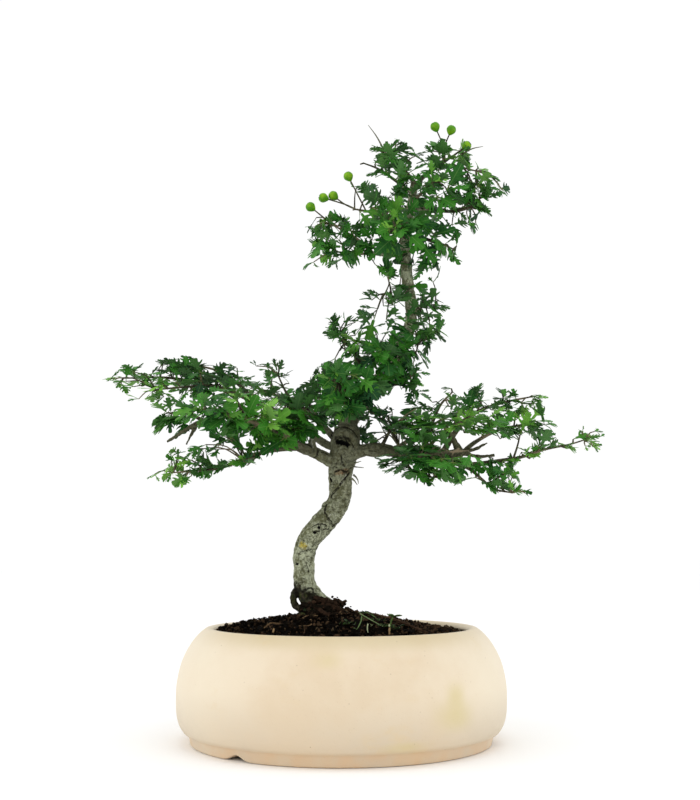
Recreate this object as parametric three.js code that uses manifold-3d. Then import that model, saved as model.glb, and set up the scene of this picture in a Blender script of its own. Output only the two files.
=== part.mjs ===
// A hawthorn bonsai in a round cream stoneware pot: pot, soil, tree, leafy sprays, haws and a weed seedling.
// Millimetres, +Z up, seen from the front along +Y. The origin is on the table, under the plant's middle.
// Places in this file are measured from the pot's axis, and the group is moved to the origin at the end.
import * as THREE from "three";
import { mergeVertices } from "three/addons/utils/BufferGeometryUtils.js";
import Module from "manifold-3d";

const wasm = await Module();
wasm.setup();

// The gap between pieces that touch
const CLEAR = 0.35;

// The pot: its wall in section as radius and height, outside from the foot up, then inside from the lip down
const POT_SIDES = 30;
const POT_OUTSIDE = [
  [112.5, 0], [115, 8.2], [118.8, 9], [122.8, 15.5], [124.7, 27], [124.5, 41], [121.8, 56], [115, 71.5],
  [104.8, 82.8], [101, 84.4], [97.8, 83.6],
];
const POT_INSIDE = [[96.4, 81.6], [107, 68.5], [114.5, 52], [116.3, 36], [103, 13.5]];
const POT_FLOOR = 12.5;
const FOOT_RECESS = 6;
const FOOT_INSIDE_RADIUS = 103;
const FOOT_DRAFT = 2;
const DRAIN_RADIUS = 12;
const NOTCH_ANGLES = [-129, -9, 111];
const NOTCH_HALF_WIDTH = 10;
const NOTCH_HEIGHT = 4.2;
const NOTCH_DEPTH = 40;
// The notch's soft arch: shoulders, toes and crown, as shares of its half width and of its height
const NOTCH_SHOULDER = [0.3, 0.75];
const NOTCH_TOE = [0.45, 0.14];
const NOTCH_CROWN = 1.25;

// The mesh screen over the drain hole
const SCREEN_SIDE = 34;
const SCREEN_THICKNESS = 1.2;
const SCREEN_HOLE = 6;
const SCREEN_PITCH = 9;
const SCREEN_ROWS = [-0.5, 0.5];
const SCREEN_POCKET_MARGIN = 0.5;

// The soil: a mound that falls to the rim, with lumps
const SOIL_EDGE = 82.4;
const SOIL_MOUND = 12.4;
const SOIL_REACH = 95.5;
const SOIL_RING = 24;
const SOIL_FALL = 1.6;
const SOIL_LUMP = 1.5;
const SOIL_RIM_DROP = 0.5;

// The trunk and the leader, each point with its radius: x, y, z, radius
const TRUNK = [
  [-12, 1, 70, 14], [-10, 1, 84, 14.6], [-14, 1, 95, 13.6], [-24, 0, 104, 11.6], [-28, 0, 115, 9],
  [-29, 0, 127, 8.3], [-29, 1, 139, 8.2], [-26, 2, 149, 8.8], [-18, 3, 159, 9], [-8, 4, 171, 9.4],
  [-2, 4, 181, 9], [-1, 3, 191, 8.8], [-1, 1, 201, 9], [0, 0, 210, 9.8], [2, 0, 219, 10.8],
  [3, 0, 228, 11.8], [4, 1, 237, 9.4],
];
const LEADER = [
  [4, 1, 231, 7.5], [6, 3, 244, 7.2], [16, 6, 258, 6.6], [28, 8, 274, 6.2], [37, 7, 286, 5.8],
  [45, 5, 300, 5.4], [52, 3, 313, 5], [55, 2, 327, 4.8], [54, 1, 341, 4.8], [52, 0, 355, 4.6],
  [51, -1, 370, 4.6], [50, 0, 384, 4.4], [52, 2, 398, 4.2], [55, 3, 413, 3.8], [57, 2, 426, 3.4],
  [58, 0, 437, 3],
];
const TRUNK_SIDES = 9;
const TRUNK_STEPS = 15;
// Low ribs that wind round the trunk, and swellings along it, as shares of its radius
const RIBS = { count: 3, depth: 0.045, wind: 9 };
const SWELLINGS = { depth: 0.03, pace: 31 };
const LEADER_SIDES = 6;
const LEADER_STEPS = 9;

// Surface roots, from the trunk down into the soil, with their first and last radius
const ROOT_RADII = [6.5, 2.4];
const ROOT_STEPS = 2;
const ROOTS = [
  [[-17, 0, 96], [-27, -5, 93], [-35, -10, 84], [-40, -13, 74]],
  [[-13, 1, 98], [-4, -3, 95], [6, -8, 89], [13, -12, 78]],
  [[-13, -2, 95], [-13, -12, 91], [-12, -20, 83], [-11, -25, 74]],
  [[-13, 3, 95], [-9, 13, 91], [-5, 21, 83], [-3, 26, 74]],
];

// Bare limbs and pruned stubs: their first and last radius, then their points
const LIMB_SIDES = 5;
const LIMB_STEPS_PER_POINT = 0.6;
const LIMBS = [
  [5.2, 1.2, [[-1, 0, 208], [-11, -4, 212], [-21, -8, 217], [-32, -12, 221], [-49, -17, 226], [-68, -22, 235],
    [-88, -24, 245], [-105, -26, 240], [-119, -28, 232], [-132, -30, 223]]],
  [1.4, 0.9, [[-110, -27, 237], [-114, -29, 228], [-117, -30, 221]]],
  [5.6, 3, [[3, 0, 216], [16, -3, 219], [30, -8, 220], [45, -12, 216], [62, -14, 215], [77, -14, 215],
    [93, -12, 216]]],
  [2.8, 2.4, [[92, -12, 216], [86, -13, 226], [80, -14, 236]]],
  [1.6, 1.2, [[91, -12, 216], [105, -10, 214], [118, -8, 215]]],
  [1.5, 1.1, [[90, -12, 216], [102, -14, 219], [112, -16, 224]]],
];

// Leafy branches: the bare share that is the tree's, the radius where they fork, then their points
const BRANCHES = {
  left_high: [0.62, 3.4, [[2, 0, 224], [-8, 4, 223], [-17, 10, 228], [-31, 16, 239], [-48, 24, 250],
    [-70, 30, 261], [-93, 32, 271], [-117, 28, 277], [-143, 22, 280], [-175, 12, 278]]],
  left_outer: [0.15, 1.8, [[-93, 32, 271], [-109, 14, 272], [-127, 0, 269], [-145, -8, 266]]],
  left_top: [0.2, 2, [[-70, 30, 261], [-84, 38, 276], [-101, 42, 288], [-124, 42, 294]]],
  left_rise: [0.2, 1.7, [[-31, 16, 239], [-38, 22, 256], [-46, 28, 270], [-52, 30, 283]]],
  left_front: [0.3, 2.8, [[-21, -8, 217], [-31, -26, 221], [-44, -48, 228], [-60, -66, 233], [-79, -78, 238],
    [-97, -82, 241]]],
  left_bottom: [0.25, 2, [[-32, -12, 220], [-44, -18, 219], [-61, -22, 216], [-74, -26, 211], [-88, -28, 205],
    [-103, -30, 202], [-126, -33, 200]]],
  left_back: [0.4, 3, [[-3, 4, 226], [-14, 26, 240], [-30, 50, 255], [-49, 70, 268], [-73, 84, 280],
    [-96, 90, 288]]],
  left_end: [0.24, 1.6, [[-105, -26, 240], [-118, -18, 246], [-132, -10, 247]]],
  left_under: [0.2, 1.6, [[-49, -17, 226], [-60, -36, 214], [-72, -50, 208]]],
  left_inner: [0.24, 1.6, [[-68, -22, 235], [-76, -38, 250], [-84, -50, 258]]],
  knob_left: [0.3, 1.6, [[-24, 13, 233], [-30, 0, 248], [-36, -12, 258]]],
  knob_back: [0.2, 2, [[3, 4, 238], [-2, 26, 250], [-8, 46, 258], [-12, 62, 262]]],
  right_long: [0.4, 2.4, [[66, -14, 215], [83, -18, 209], [99, -20, 207], [121, -20, 210], [138, -18, 213],
    [156, -14, 219], [175, -10, 223], [188, -8, 227]]],
  right_low: [0.3, 1.8, [[83, -18, 209], [96, -24, 204], [106, -28, 195], [114, -30, 188], [128, -31, 185]]],
  right_up: [0.35, 2.6, [[77, -14, 215], [86, -4, 230], [98, 6, 245], [114, 12, 254], [134, 14, 260],
    [150, 12, 263]]],
  right_rise: [0.35, 2.4, [[62, -14, 215], [68, -16, 235], [76, -14, 253], [86, -11, 264]]],
  right_mid: [0.25, 2, [[92, -12, 216], [106, -4, 227], [124, 2, 236], [145, 6, 241]]],
  right_front: [0.35, 2.6, [[30, -8, 220], [41, -34, 214], [54, -60, 210], [70, -78, 211], [90, -88, 212]]],
  right_drop: [0.25, 2, [[45, -12, 216], [50, -30, 205], [56, -46, 198], [68, -54, 195]]],
  right_back: [0.4, 2.8, [[14, -3, 219], [28, 18, 218], [46, 44, 226], [68, 66, 242], [93, 80, 256],
    [112, 86, 264]]],
  right_inner: [0.15, 1.8, [[30, -8, 220], [38, -22, 234], [48, -34, 242]]],
  right_fore: [0.15, 1.8, [[62, -14, 215], [72, -36, 226], [84, -54, 234]]],
  mid_left: [0.25, 2.2, [[28, 8, 274], [17, 0, 284], [8, -6, 298], [-3, -8, 308]]],
  mid_front: [0.2, 2, [[16, 6, 258], [8, -18, 262], [0, -38, 265], [-8, -52, 268]]],
  mid_right: [0.38, 1.8, [[45, 5, 300], [56, -6, 303], [66, -12, 305]]],
  mid_back: [0.25, 2, [[37, 7, 286], [34, 30, 299], [30, 50, 309]]],
  mid_low: [0.2, 1.8, [[28, 8, 274], [40, -8, 270], [53, -20, 270]]],
  mid_fore: [0.15, 1.8, [[37, 7, 286], [34, -16, 287], [32, -34, 291]]],
  mid_inner: [0.32, 1.8, [[16, 6, 258], [2, 16, 268], [-14, 22, 276]]],
  crown_twig_left: [0.36, 1.4, [[54, 1, 341], [43, -6, 340], [34, -10, 342]]],
  crown_twig_right: [0.36, 1.4, [[55, 2, 331], [65, 8, 335], [75, 12, 338]]],
  top_left_low: [0.6, 2.2, [[50, -1, 377], [40, -5, 374], [25, -10, 374], [10, -14, 373], [-4, -16, 374]]],
  top_left_mid: [0.3, 1.8, [[52, 2, 398], [40, -4, 403], [25, -8, 408], [10, -10, 410]]],
  top_left_wing: [0.1, 1.5, [[25, -10, 374], [13, -14, 384], [2, -14, 391], [-8, -12, 397]]],
  top_front: [0.2, 1.9, [[51, 0, 388], [47, -20, 388], [41, -40, 388]]],
  top_back: [0.25, 2, [[52, 2, 398], [57, 26, 409], [65, 48, 418], [74, 62, 426]]],
  top_back_left: [0.25, 1.9, [[55, 3, 412], [46, 26, 422], [35, 44, 432], [24, 54, 440]]],
  top_right_mid: [0.35, 2.2, [[55, 3, 413], [67, 0, 414], [85, -4, 410], [100, -6, 412], [110, -6, 420]]],
  top_right_low: [0.25, 1.9, [[51, 0, 386], [63, -6, 387], [76, -10, 383], [88, -12, 377]]],
  top_right_high: [0.74, 2, [[57, 2, 430], [66, 0, 440], [79, -2, 449], [94, -2, 460]]],
  top_peak: [0.15, 2, [[58, 0, 435], [51, -2, 443], [43, -3, 450], [36, -4, 458]]],
  top_crest: [0.2, 1.8, [[57, 2, 427], [44, 6, 438], [30, 6, 448], [17, 2, 452]]],
  top_wing_right: [0.1, 1.4, [[79, -2, 449], [92, -10, 445], [106, -14, 440]]],
  top_fore_right: [0.2, 1.8, [[55, 3, 417], [62, -18, 420], [70, -34, 424]]],
};
const BRANCH_SIDES = 4;
const BARE_STEP = 28;
const TWIG_STEP = 22;
const TWIG_TIP_RADIUS = 0.8;

// Spurs along the branches: three lobed leaves in one thin arched blade, or one leaf where three don't fit
const LEAVES_ON_A_SPUR = [3, 1];
const SPUR_SPACING = 24;
const SPUR_LENGTH = 4.5;
const SPUR_HALF_WIDTH = 0.55;
const SPUR_FOOT = -0.4;
const SPUR_CLEAR_FROM = 3.2;
const FIRST_SPUR = 0.6;
const LAST_SPUR = 0.995;
const LEAF_FAN = THREE.MathUtils.degToRad(78);
const LEAF_GAP_REACH = 2.4;
const LEAF_THICKNESS = 0.7;
const PETIOLE_LENGTH = 4.5;
const BLADE_LENGTHS = [14, 18];
const SIDE_BLADE = 0.88;
const TIP_BLADE = 0.75;
const BLADE_ARCH = 0.16;
const FIVE_LOBED_SHARE = 0.25;
const FIVE_LOBES = [[0.34, 0.42], [0.46, 0.17], [0.7, 0.39], [0.78, 0.14]];
const THREE_LOBES = [[0.54, 0.44], [0.66, 0.17]];
const GOLDEN_ANGLE = THREE.MathUtils.degToRad(137.5);
const BRANCH_TURN = 1.7;
const TRY_TURN = THREE.MathUtils.degToRad(65);
const MOST_TRIES = 9;
const SPUR_SPREAD = [50, 72];
const TIP_SPREAD = 15;
const MOST_ROLL = 60;
const LEVELLING = 0.8;
const DROOP = 0.2;
const FACE_OUT = 0.5;
const FACE_UP = 0.8;
const TREE_MIDDLE = 20;

// Thorns: a slim cone on every third branch
const THORN_LENGTH = 11;
const THORN_RADIUS = 0.9;
const THORN_SIDES = 3;
const THORN_PLACE = 0.3;
const THORN_LEAN = 0.45;
const THORN_EVERY = 3;

// Haws: each bunch with its branch, the share along it where the stalk grows, and the middle of each fruit
const HAWS = {
  haws_top: ["top_right_high", 0.7, [[75, -2, 481], [88, -3, 478]]],
  haw_top_right: ["top_right_high", 0.88, [[100, -5, 464]]],
  haws_left: ["top_left_mid", 0.97, [[-15, -8, 420], [-7, -7, 422]]],
  haw_left_high: ["top_left_mid", 0.8, [[5, -4, 439]]],
  haw_far_left: ["top_left_wing", 0.97, [[-25, -10, 412]]],
};
const HAW_RADIUS = 4;
const HAW_SIDES = 7;
const HAW_RINGS = 5;
const HAW_STRETCH = 1.08;
const STALK_RADIUS = 0.6;
const STALK_SIDES = 4;
const STALK_STEPS = 2;
const STALK_FORK = 0.4;

// A weed seedling with its foot in the soil and a few leaflets on top
const WEED_STEM = [[35, -58, 78], [35, -58, 90], [37, -59, 97]];
const WEED_RADIUS = 0.8;
const WEED_SIDES = 4;
const WEED_LEAFLETS = 3;
const LEAFLET_HALF_LENGTH = 3.6;
const LEAFLET_HALF_WIDTH = 2.4;
const LEAFLET_THICKNESS = 0.7;
const LEAFLET_RISE = 0.3;
const LEAFLET_SINK = 0.5;
// How far a leaflet's middle stands from the stem, as a share of its half length
const LEAFLET_REACH = 0.9;

// A number from 0 to 1 that looks random but is always the same for the same whole-number keys
function chance(...keys) {
  let hash = 2166136261;
  for (const key of keys) {
    hash = Math.imul(hash ^ (key + 1), 16777619);
    hash ^= hash >>> 13;
    hash = Math.imul(hash, 1540483477);
    hash ^= hash >>> 15;
  }
  return (hash >>> 0) / 4294967296;
}

const between = ([low, high], share) => low + (high - low) * share;
const vector = ([x, y, z]) => new THREE.Vector3(x, y, z);
const curveThrough = (points) => new THREE.CatmullRomCurve3(points.map(vector), false, "catmullrom", 0.5);

// A closed geometry as a solid that can be joined and cut
function solid(geometry) {
  const bare = geometry.clone();
  bare.deleteAttribute("normal");
  bare.deleteAttribute("uv");
  const merged = mergeVertices(bare, 1e-4);
  return new wasm.Manifold(
    new wasm.Mesh({
      numProp: 3,
      vertProperties: new Float32Array(merged.attributes.position.array),
      triVerts: new Uint32Array(merged.index.array),
    }),
  );
}

// A solid as a geometry that can be shown
function geometryOf(body) {
  const mesh = body.getMesh();
  const geometry = new THREE.BufferGeometry();
  geometry.setAttribute("position", new THREE.BufferAttribute(mesh.vertProperties, 3));
  geometry.setIndex(new THREE.BufferAttribute(mesh.triVerts, 1));
  geometry.computeVertexNormals();
  return geometry;
}

const join = (bodies) => bodies.reduce((whole, body) => whole.add(body));

// The largest body, without the scraps that a cut leaves
const largest = (body) => body.decompose().reduce((a, b) => (b.volume() > a.volume() ? b : a));

function meets(a, b) {
  const [p, q] = [a.boundingBox(), b.boundingBox()];
  if ([0, 1, 2].some((i) => p.min[i] > q.max[i] || q.min[i] > p.max[i])) return false;
  return a.intersect(b).volume() > 0;
}

// The world axis that lies most across a path, so that sections along it don't twist
function acrossAxis(curve) {
  const chord = curve.getPoint(1).sub(curve.getPoint(0)).normalize();
  const axes = [new THREE.Vector3(1, 0, 0), new THREE.Vector3(0, 1, 0), new THREE.Vector3(0, 0, 1)];
  return axes.reduce((a, b) => (Math.abs(b.dot(chord)) < Math.abs(a.dot(chord)) ? b : a));
}

function frameAt(curve, share) {
  const along = curve.getTangentAt(share);
  const side = new THREE.Vector3().crossVectors(along, acrossAxis(curve)).normalize();
  return { place: curve.getPointAt(share), along, side, over: new THREE.Vector3().crossVectors(side, along) };
}

// A closed cylinder bent along a stretch of a path; radiusAt takes the share of the path and the angle
function limb(curve, radiusAt, sides, steps, start = 0, end = 1) {
  const geometry = new THREE.CylinderGeometry(1, 1, 1, sides, steps);
  const position = geometry.attributes.position;
  const point = new THREE.Vector3();
  for (let i = 0; i < position.count; i++) {
    point.fromBufferAttribute(position, i);
    const share = start + (end - start) * (point.y + 0.5);
    const { place, side, over } = frameAt(curve, share);
    const radius = radiusAt(share, Math.atan2(point.z, point.x));
    place.addScaledVector(side, point.x * radius).addScaledVector(over, point.z * radius);
    position.setXYZ(i, place.x, place.y, place.z);
  }
  return solid(geometry);
}

const taper = (from, to) => (share) => between([from, to], share);

// The radius along a path whose points carry it as their fourth number
function radiusOf(rows, spare) {
  return (share) => {
    const at = share * (rows.length - 1);
    const row = Math.min(Math.floor(at), rows.length - 2);
    return between([rows[row][3], rows[row + 1][3]], at - row) + spare;
  };
}

// Old bark: three low ribs that wind round the trunk, and swellings along it
function ribbed(radius) {
  return (share, angle) => {
    const rib = RIBS.depth * Math.cos(RIBS.count * angle + RIBS.wind * share);
    return radius(share) * (1 + rib + SWELLINGS.depth * Math.sin(SWELLINGS.pace * share));
  };
}

// A turned shape about Z, from points of radius and height
function turned(profile) {
  const points = profile.map(([radius, height]) => new THREE.Vector2(radius, height));
  return new THREE.LatheGeometry(points, POT_SIDES).rotateX(Math.PI / 2);
}

// The pot, with its drain hole and three notches in the foot
function pot() {
  const profile = [
    ...POT_OUTSIDE,
    ...POT_INSIDE,
    [DRAIN_RADIUS, POT_FLOOR],
    [DRAIN_RADIUS, FOOT_RECESS],
    [FOOT_INSIDE_RADIUS - FOOT_DRAFT, FOOT_RECESS],
    [FOOT_INSIDE_RADIUS, 0],
    POT_OUTSIDE[0],
  ];
  return NOTCH_ANGLES.reduce((body, angle) => body.subtract(notch(angle)), solid(turned(profile)));
}

// A soft arch cut through the foot, so that water runs out
function notch(angle) {
  const scaled = ([x, y]) => [x * NOTCH_HALF_WIDTH, y * NOTCH_HEIGHT];
  const [shoulder, toe] = [NOTCH_SHOULDER, NOTCH_TOE].map(scaled);
  const arch = new THREE.Shape();
  arch.moveTo(-NOTCH_HALF_WIDTH, -1);
  arch.lineTo(NOTCH_HALF_WIDTH, -1);
  arch.lineTo(NOTCH_HALF_WIDTH, 0);
  arch.quadraticCurveTo(toe[0], toe[1], shoulder[0], shoulder[1]);
  arch.quadraticCurveTo(0, NOTCH_CROWN * NOTCH_HEIGHT, -shoulder[0], shoulder[1]);
  arch.quadraticCurveTo(-toe[0], toe[1], -NOTCH_HALF_WIDTH, 0);
  const settings = { depth: NOTCH_DEPTH, bevelEnabled: false, curveSegments: 3 };
  const block = new THREE.ExtrudeGeometry(arch, settings);
  block.rotateX(Math.PI / 2).rotateZ(Math.PI / 2);
  block.translate(FOOT_INSIDE_RADIUS - NOTCH_DEPTH / 3, 0, 0);
  return solid(block.rotateZ(THREE.MathUtils.degToRad(angle)));
}

// The screen that keeps the soil from running out of the drain hole
function drainScreen() {
  const plate = new THREE.BoxGeometry(SCREEN_SIDE, SCREEN_SIDE, SCREEN_THICKNESS);
  let body = solid(plate.translate(0, 0, POT_FLOOR + CLEAR + SCREEN_THICKNESS / 2));
  for (const row of SCREEN_ROWS) {
    for (const column of SCREEN_ROWS) {
      const hole = new THREE.BoxGeometry(SCREEN_HOLE, SCREEN_HOLE, POT_FLOOR);
      body = body.subtract(solid(hole.translate(column * SCREEN_PITCH, row * SCREEN_PITCH, POT_FLOOR)));
    }
  }
  return body;
}

const soilHeight = (radius) => SOIL_EDGE + SOIL_MOUND * (1 - Math.pow(radius / SOIL_REACH, SOIL_FALL));

// The soil, which fills the pot, with holes where the tree, the seedling and the screen are
function soil(tree, seedling) {
  const mound = [];
  for (let radius = 0; radius < SOIL_REACH; radius += SOIL_RING) mound.push([radius, soilHeight(radius)]);
  const wall = POT_INSIDE.map(([radius, height]) => [radius - CLEAR, height]);
  wall.unshift([wall[0][0], SOIL_EDGE - SOIL_RIM_DROP]);
  wall[wall.length - 1][1] += CLEAR;
  const geometry = turned([[0, POT_FLOOR + CLEAR], ...wall.reverse(), ...mound.reverse()]);
  const position = geometry.attributes.position;
  for (let i = 0; i < position.count; i++) {
    const radius = Math.hypot(position.getX(i), position.getY(i));
    if (position.getZ(i) < SOIL_EDGE || radius < 1) continue;
    const angle = Math.atan2(position.getY(i), position.getX(i));
    const spoke = Math.round((angle * POT_SIDES) / (2 * Math.PI) + POT_SIDES) % POT_SIDES;
    const lump = 2 * chance(spoke, Math.round(radius / SOIL_RING)) - 1;
    position.setZ(i, position.getZ(i) + SOIL_LUMP * lump);
  }
  const pocketSide = SCREEN_SIDE + 2 * SCREEN_POCKET_MARGIN;
  const pocket = new THREE.BoxGeometry(pocketSide, pocketSide, 2 * (SCREEN_THICKNESS + 2 * CLEAR));
  const cuts = [tree, seedling, solid(pocket.translate(0, 0, POT_FLOOR))];
  return largest(cuts.reduce((body, cut) => body.subtract(cut), solid(geometry)));
}

// The tree's wood: trunk, leader, roots, limbs, stubs and the bare foot of each branch, all `spare` thicker
function wood(spare) {
  const bodies = [
    limb(curveThrough(TRUNK), ribbed(radiusOf(TRUNK, spare)), TRUNK_SIDES, TRUNK_STEPS),
    limb(curveThrough(LEADER), radiusOf(LEADER, spare), LEADER_SIDES, LEADER_STEPS),
  ];
  const [thick, thin] = ROOT_RADII;
  for (const points of ROOTS) {
    bodies.push(limb(curveThrough(points), taper(thick + spare, thin + spare), LIMB_SIDES, ROOT_STEPS));
  }
  for (const [from, to, points] of LIMBS) {
    const steps = Math.max(1, Math.round(points.length * LIMB_STEPS_PER_POINT));
    bodies.push(limb(curveThrough(points), taper(from + spare, to + spare), LIMB_SIDES, steps));
  }
  for (const [share, from, points] of Object.values(BRANCHES)) {
    const curve = curveThrough(points);
    const length = curve.getLength();
    const steps = Math.max(1, Math.round((length * share) / BARE_STEP));
    const radius = taper(from + spare, TWIG_TIP_RADIUS + spare);
    bodies.push(limb(curve, radius, BRANCH_SIDES, steps, 0, share + spare / length));
  }
  return join(bodies);
}

// The leafy stretch of a branch, from just past the end of its bare foot
function stem([share, from, points], spare) {
  const curve = curveThrough(points);
  const length = curve.getLength();
  const steps = Math.max(2, Math.round((length * (1 - share)) / TWIG_STEP));
  const radius = taper(from + spare, TWIG_TIP_RADIUS + spare);
  return limb(curve, radius, BRANCH_SIDES, steps, share + CLEAR / length);
}

// The outline of one lobed leaf along +X, from its right side round its tip to its left side
function leafOutline(blade, lobes) {
  const left = lobes.map(([u, v]) => new THREE.Vector2(PETIOLE_LENGTH + u * blade, v * blade));
  const right = left.map((point) => new THREE.Vector2(point.x, -point.y));
  return [...right, new THREE.Vector2(PETIOLE_LENGTH + blade, 0), ...left.reverse()];
}

// A spur along +X with leaves that spread from its end, in one thin arched blade; its foot is cut at `from`
function spurGeometry({ blade, lobes, leaves }, thickness, from) {
  const middle = (leaves - 1) / 2;
  const hub = new THREE.Vector2(SPUR_LENGTH, 0);
  const centre = new THREE.Vector2();
  const outline = [from, SPUR_LENGTH].map((x) => new THREE.Vector2(x, -SPUR_HALF_WIDTH));
  for (let i = 0; i < leaves; i++) {
    const turn = (i - middle) * LEAF_FAN;
    const leaf = i === middle ? leafOutline(blade, lobes) : leafOutline(blade * SIDE_BLADE, THREE_LOBES);
    const gap = new THREE.Vector2(LEAF_GAP_REACH, 0).rotateAround(centre, turn - LEAF_FAN / 2);
    if (i > 0) outline.push(gap.add(hub));
    for (const point of leaf) outline.push(point.rotateAround(centre, turn).add(hub));
  }
  outline.push(new THREE.Vector2(SPUR_LENGTH, SPUR_HALF_WIDTH), new THREE.Vector2(from, SPUR_HALF_WIDTH));
  const shape = new THREE.Shape(outline);
  const geometry = new THREE.ExtrudeGeometry(shape, { depth: thickness, bevelEnabled: false });
  const position = geometry.attributes.position;
  for (let i = 0; i < position.count; i++) {
    const reach = Math.max(0, Math.hypot(position.getX(i) - SPUR_LENGTH, position.getY(i))) / blade;
    position.setZ(i, position.getZ(i) - thickness / 2 - BLADE_ARCH * blade * reach * reach);
  }
  return geometry;
}

// Where the spurs of a branch sit: spaced along its leafy stretch, with smaller leaves to the tip
function sitesOf([share, , points], branch) {
  const curve = curveThrough(points);
  const count = Math.max(2, Math.round((curve.getLength() * (1 - share)) / SPUR_SPACING));
  return Array.from({ length: count }, (none, spur) => {
    const reach = (spur + FIRST_SPUR) / (count - 1 + FIRST_SPUR);
    const blade = between(BLADE_LENGTHS, chance(branch, spur, 4)) * between([1, TIP_BLADE], reach * reach);
    const lobes = chance(branch, spur, 5) < FIVE_LOBED_SHARE ? FIVE_LOBES : THREE_LOBES;
    const tip = spur === count - 1;
    const seat = frameAt(curve, Math.min(LAST_SPUR, between([share, 1], reach)));
    return { branch, spur, tip, blade, lobes, ...seat };
  });
}

// A spur at its site: it turns round the branch by the golden angle, droops, and faces up and outwards
function spurAt(site, leaves, attempt) {
  const { branch, spur, tip, place, along, side, over } = site;
  const turn = branch * BRANCH_TURN + spur * GOLDEN_ANGLE + attempt * TRY_TURN;
  const spread = THREE.MathUtils.degToRad(tip ? TIP_SPREAD : between(SPUR_SPREAD, chance(branch, spur, 1)));
  const roll = THREE.MathUtils.degToRad(between([-MOST_ROLL, MOST_ROLL], chance(branch, spur, 2, attempt)));
  const out = side.clone().multiplyScalar(Math.cos(turn)).addScaledVector(over, Math.sin(turn));
  const axis = along.clone().multiplyScalar(Math.cos(spread)).addScaledVector(out, Math.sin(spread));
  axis.z = LEVELLING * axis.z - DROOP;
  axis.normalize();
  const facing = new THREE.Vector3(place.x - TREE_MIDDLE, place.y, 0).normalize().multiplyScalar(FACE_OUT);
  facing.z = FACE_UP;
  facing.addScaledVector(axis, -facing.dot(axis)).normalize().applyAxisAngle(axis, roll);
  return { ...site, axis, facing, leaves };
}

function placed(geometry, { place, axis, facing }) {
  const matrix = new THREE.Matrix4().makeBasis(axis, new THREE.Vector3().crossVectors(facing, axis), facing);
  return geometry.applyMatrix4(matrix.setPosition(place));
}

// A thorn that leans towards the branch's tip
function thornOn([share, , points], branch, attempt, spare) {
  const { place, along, side, over } = frameAt(curveThrough(points), between([share, 1], THORN_PLACE));
  const turn = branch * GOLDEN_ANGLE + attempt * TRY_TURN;
  const axis = along.multiplyScalar(THORN_LEAN);
  axis.addScaledVector(side, Math.cos(turn)).addScaledVector(over, Math.sin(turn)).normalize();
  const length = THORN_LENGTH + spare;
  const cone = new THREE.ConeGeometry(THORN_RADIUS + spare, length, THORN_SIDES).translate(0, length / 2, 0);
  cone.applyQuaternion(new THREE.Quaternion().setFromUnitVectors(new THREE.Vector3(0, 1, 0), axis));
  return solid(cone.translate(place.x, place.y, place.z));
}

// Stems must be clear of each other and of the tree, or the branch points are wrong
function checkStems(stems, names, tree) {
  stems.forEach((body, i) => {
    if (meets(body, tree)) throw new Error(`the stem of ${names[i]} crosses the tree`);
    const other = stems.findIndex((second, j) => j > i && meets(body, second));
    if (other > 0) throw new Error(`the stems of ${names[i]} and ${names[other]} cross`);
  });
}

// The leafy sprays: stems, some with a thorn, and three leaves at every site, or one where three find no room
function sprays(tree, obstacles) {
  const names = Object.keys(BRANCHES);
  const attempts = Array.from({ length: MOST_TRIES }, (none, attempt) => attempt);
  const stems = Object.values(BRANCHES).map((branch) => stem(branch, 0));
  checkStems(stems, names, tree);
  const bodies = stems.map((body) => [body]);
  Object.values(BRANCHES).forEach((branch, i) => {
    if (i % THORN_EVERY > 0) return;
    const others = [...obstacles, ...stems.filter((body, j) => j !== i)];
    const isFree = (turn) => !others.some((body) => meets(thornOn(branch, i, turn, CLEAR), body));
    const attempt = attempts.find(isFree);
    if (attempt !== undefined) bodies[i].push(thornOn(branch, i, attempt, 0));
  });
  const thick = LEAF_THICKNESS + 2 * CLEAR;
  const fits = (spur) => {
    const whole = solid(placed(spurGeometry(spur, thick, 0), spur));
    const blades = solid(placed(spurGeometry(spur, thick, SPUR_CLEAR_FROM), spur));
    if (obstacles.some((body) => meets(whole, body))) return false;
    return !bodies.some((list, i) => list.some((body) => meets(i === spur.branch ? blades : whole, body)));
  };
  let sites = Object.values(BRANCHES).flatMap(sitesOf).sort((a, b) => b.tip - a.tip || a.spur - b.spur);
  for (const leaves of LEAVES_ON_A_SPUR) {
    sites = sites.filter((site) => {
      const spur = attempts.map((attempt) => spurAt(site, leaves, attempt)).find(fits);
      if (spur) bodies[site.branch].push(solid(placed(spurGeometry(spur, LEAF_THICKNESS, SPUR_FOOT), spur)));
      return !spur;
    });
  }
  return Object.fromEntries(names.map((name, i) => [name, join(bodies[i])]));
}

// A bunch of haws: stalks that part on the way from the twig, and a round fruit at the end of each
function haws([branch, share, fruits], twigs) {
  const foot = curveThrough(BRANCHES[branch][2]).getPointAt(share);
  const middle = new THREE.Vector3();
  for (const fruit of fruits) middle.addScaledVector(vector(fruit), 1 / fruits.length);
  const fork = foot.clone().lerp(middle, STALK_FORK);
  const bodies = [];
  for (const end of fruits.map(vector)) {
    const stalk = new THREE.CatmullRomCurve3([foot, fork, end], false, "catmullrom", 0.5);
    bodies.push(limb(stalk, () => STALK_RADIUS, STALK_SIDES, STALK_STEPS));
    const ball = new THREE.SphereGeometry(HAW_RADIUS, HAW_SIDES, HAW_RINGS).scale(1, 1, HAW_STRETCH);
    ball.lookAt(end.clone().sub(fork));
    bodies.push(solid(ball.translate(end.x, end.y, end.z)));
  }
  return largest(join(bodies).subtract(twigs));
}

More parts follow.
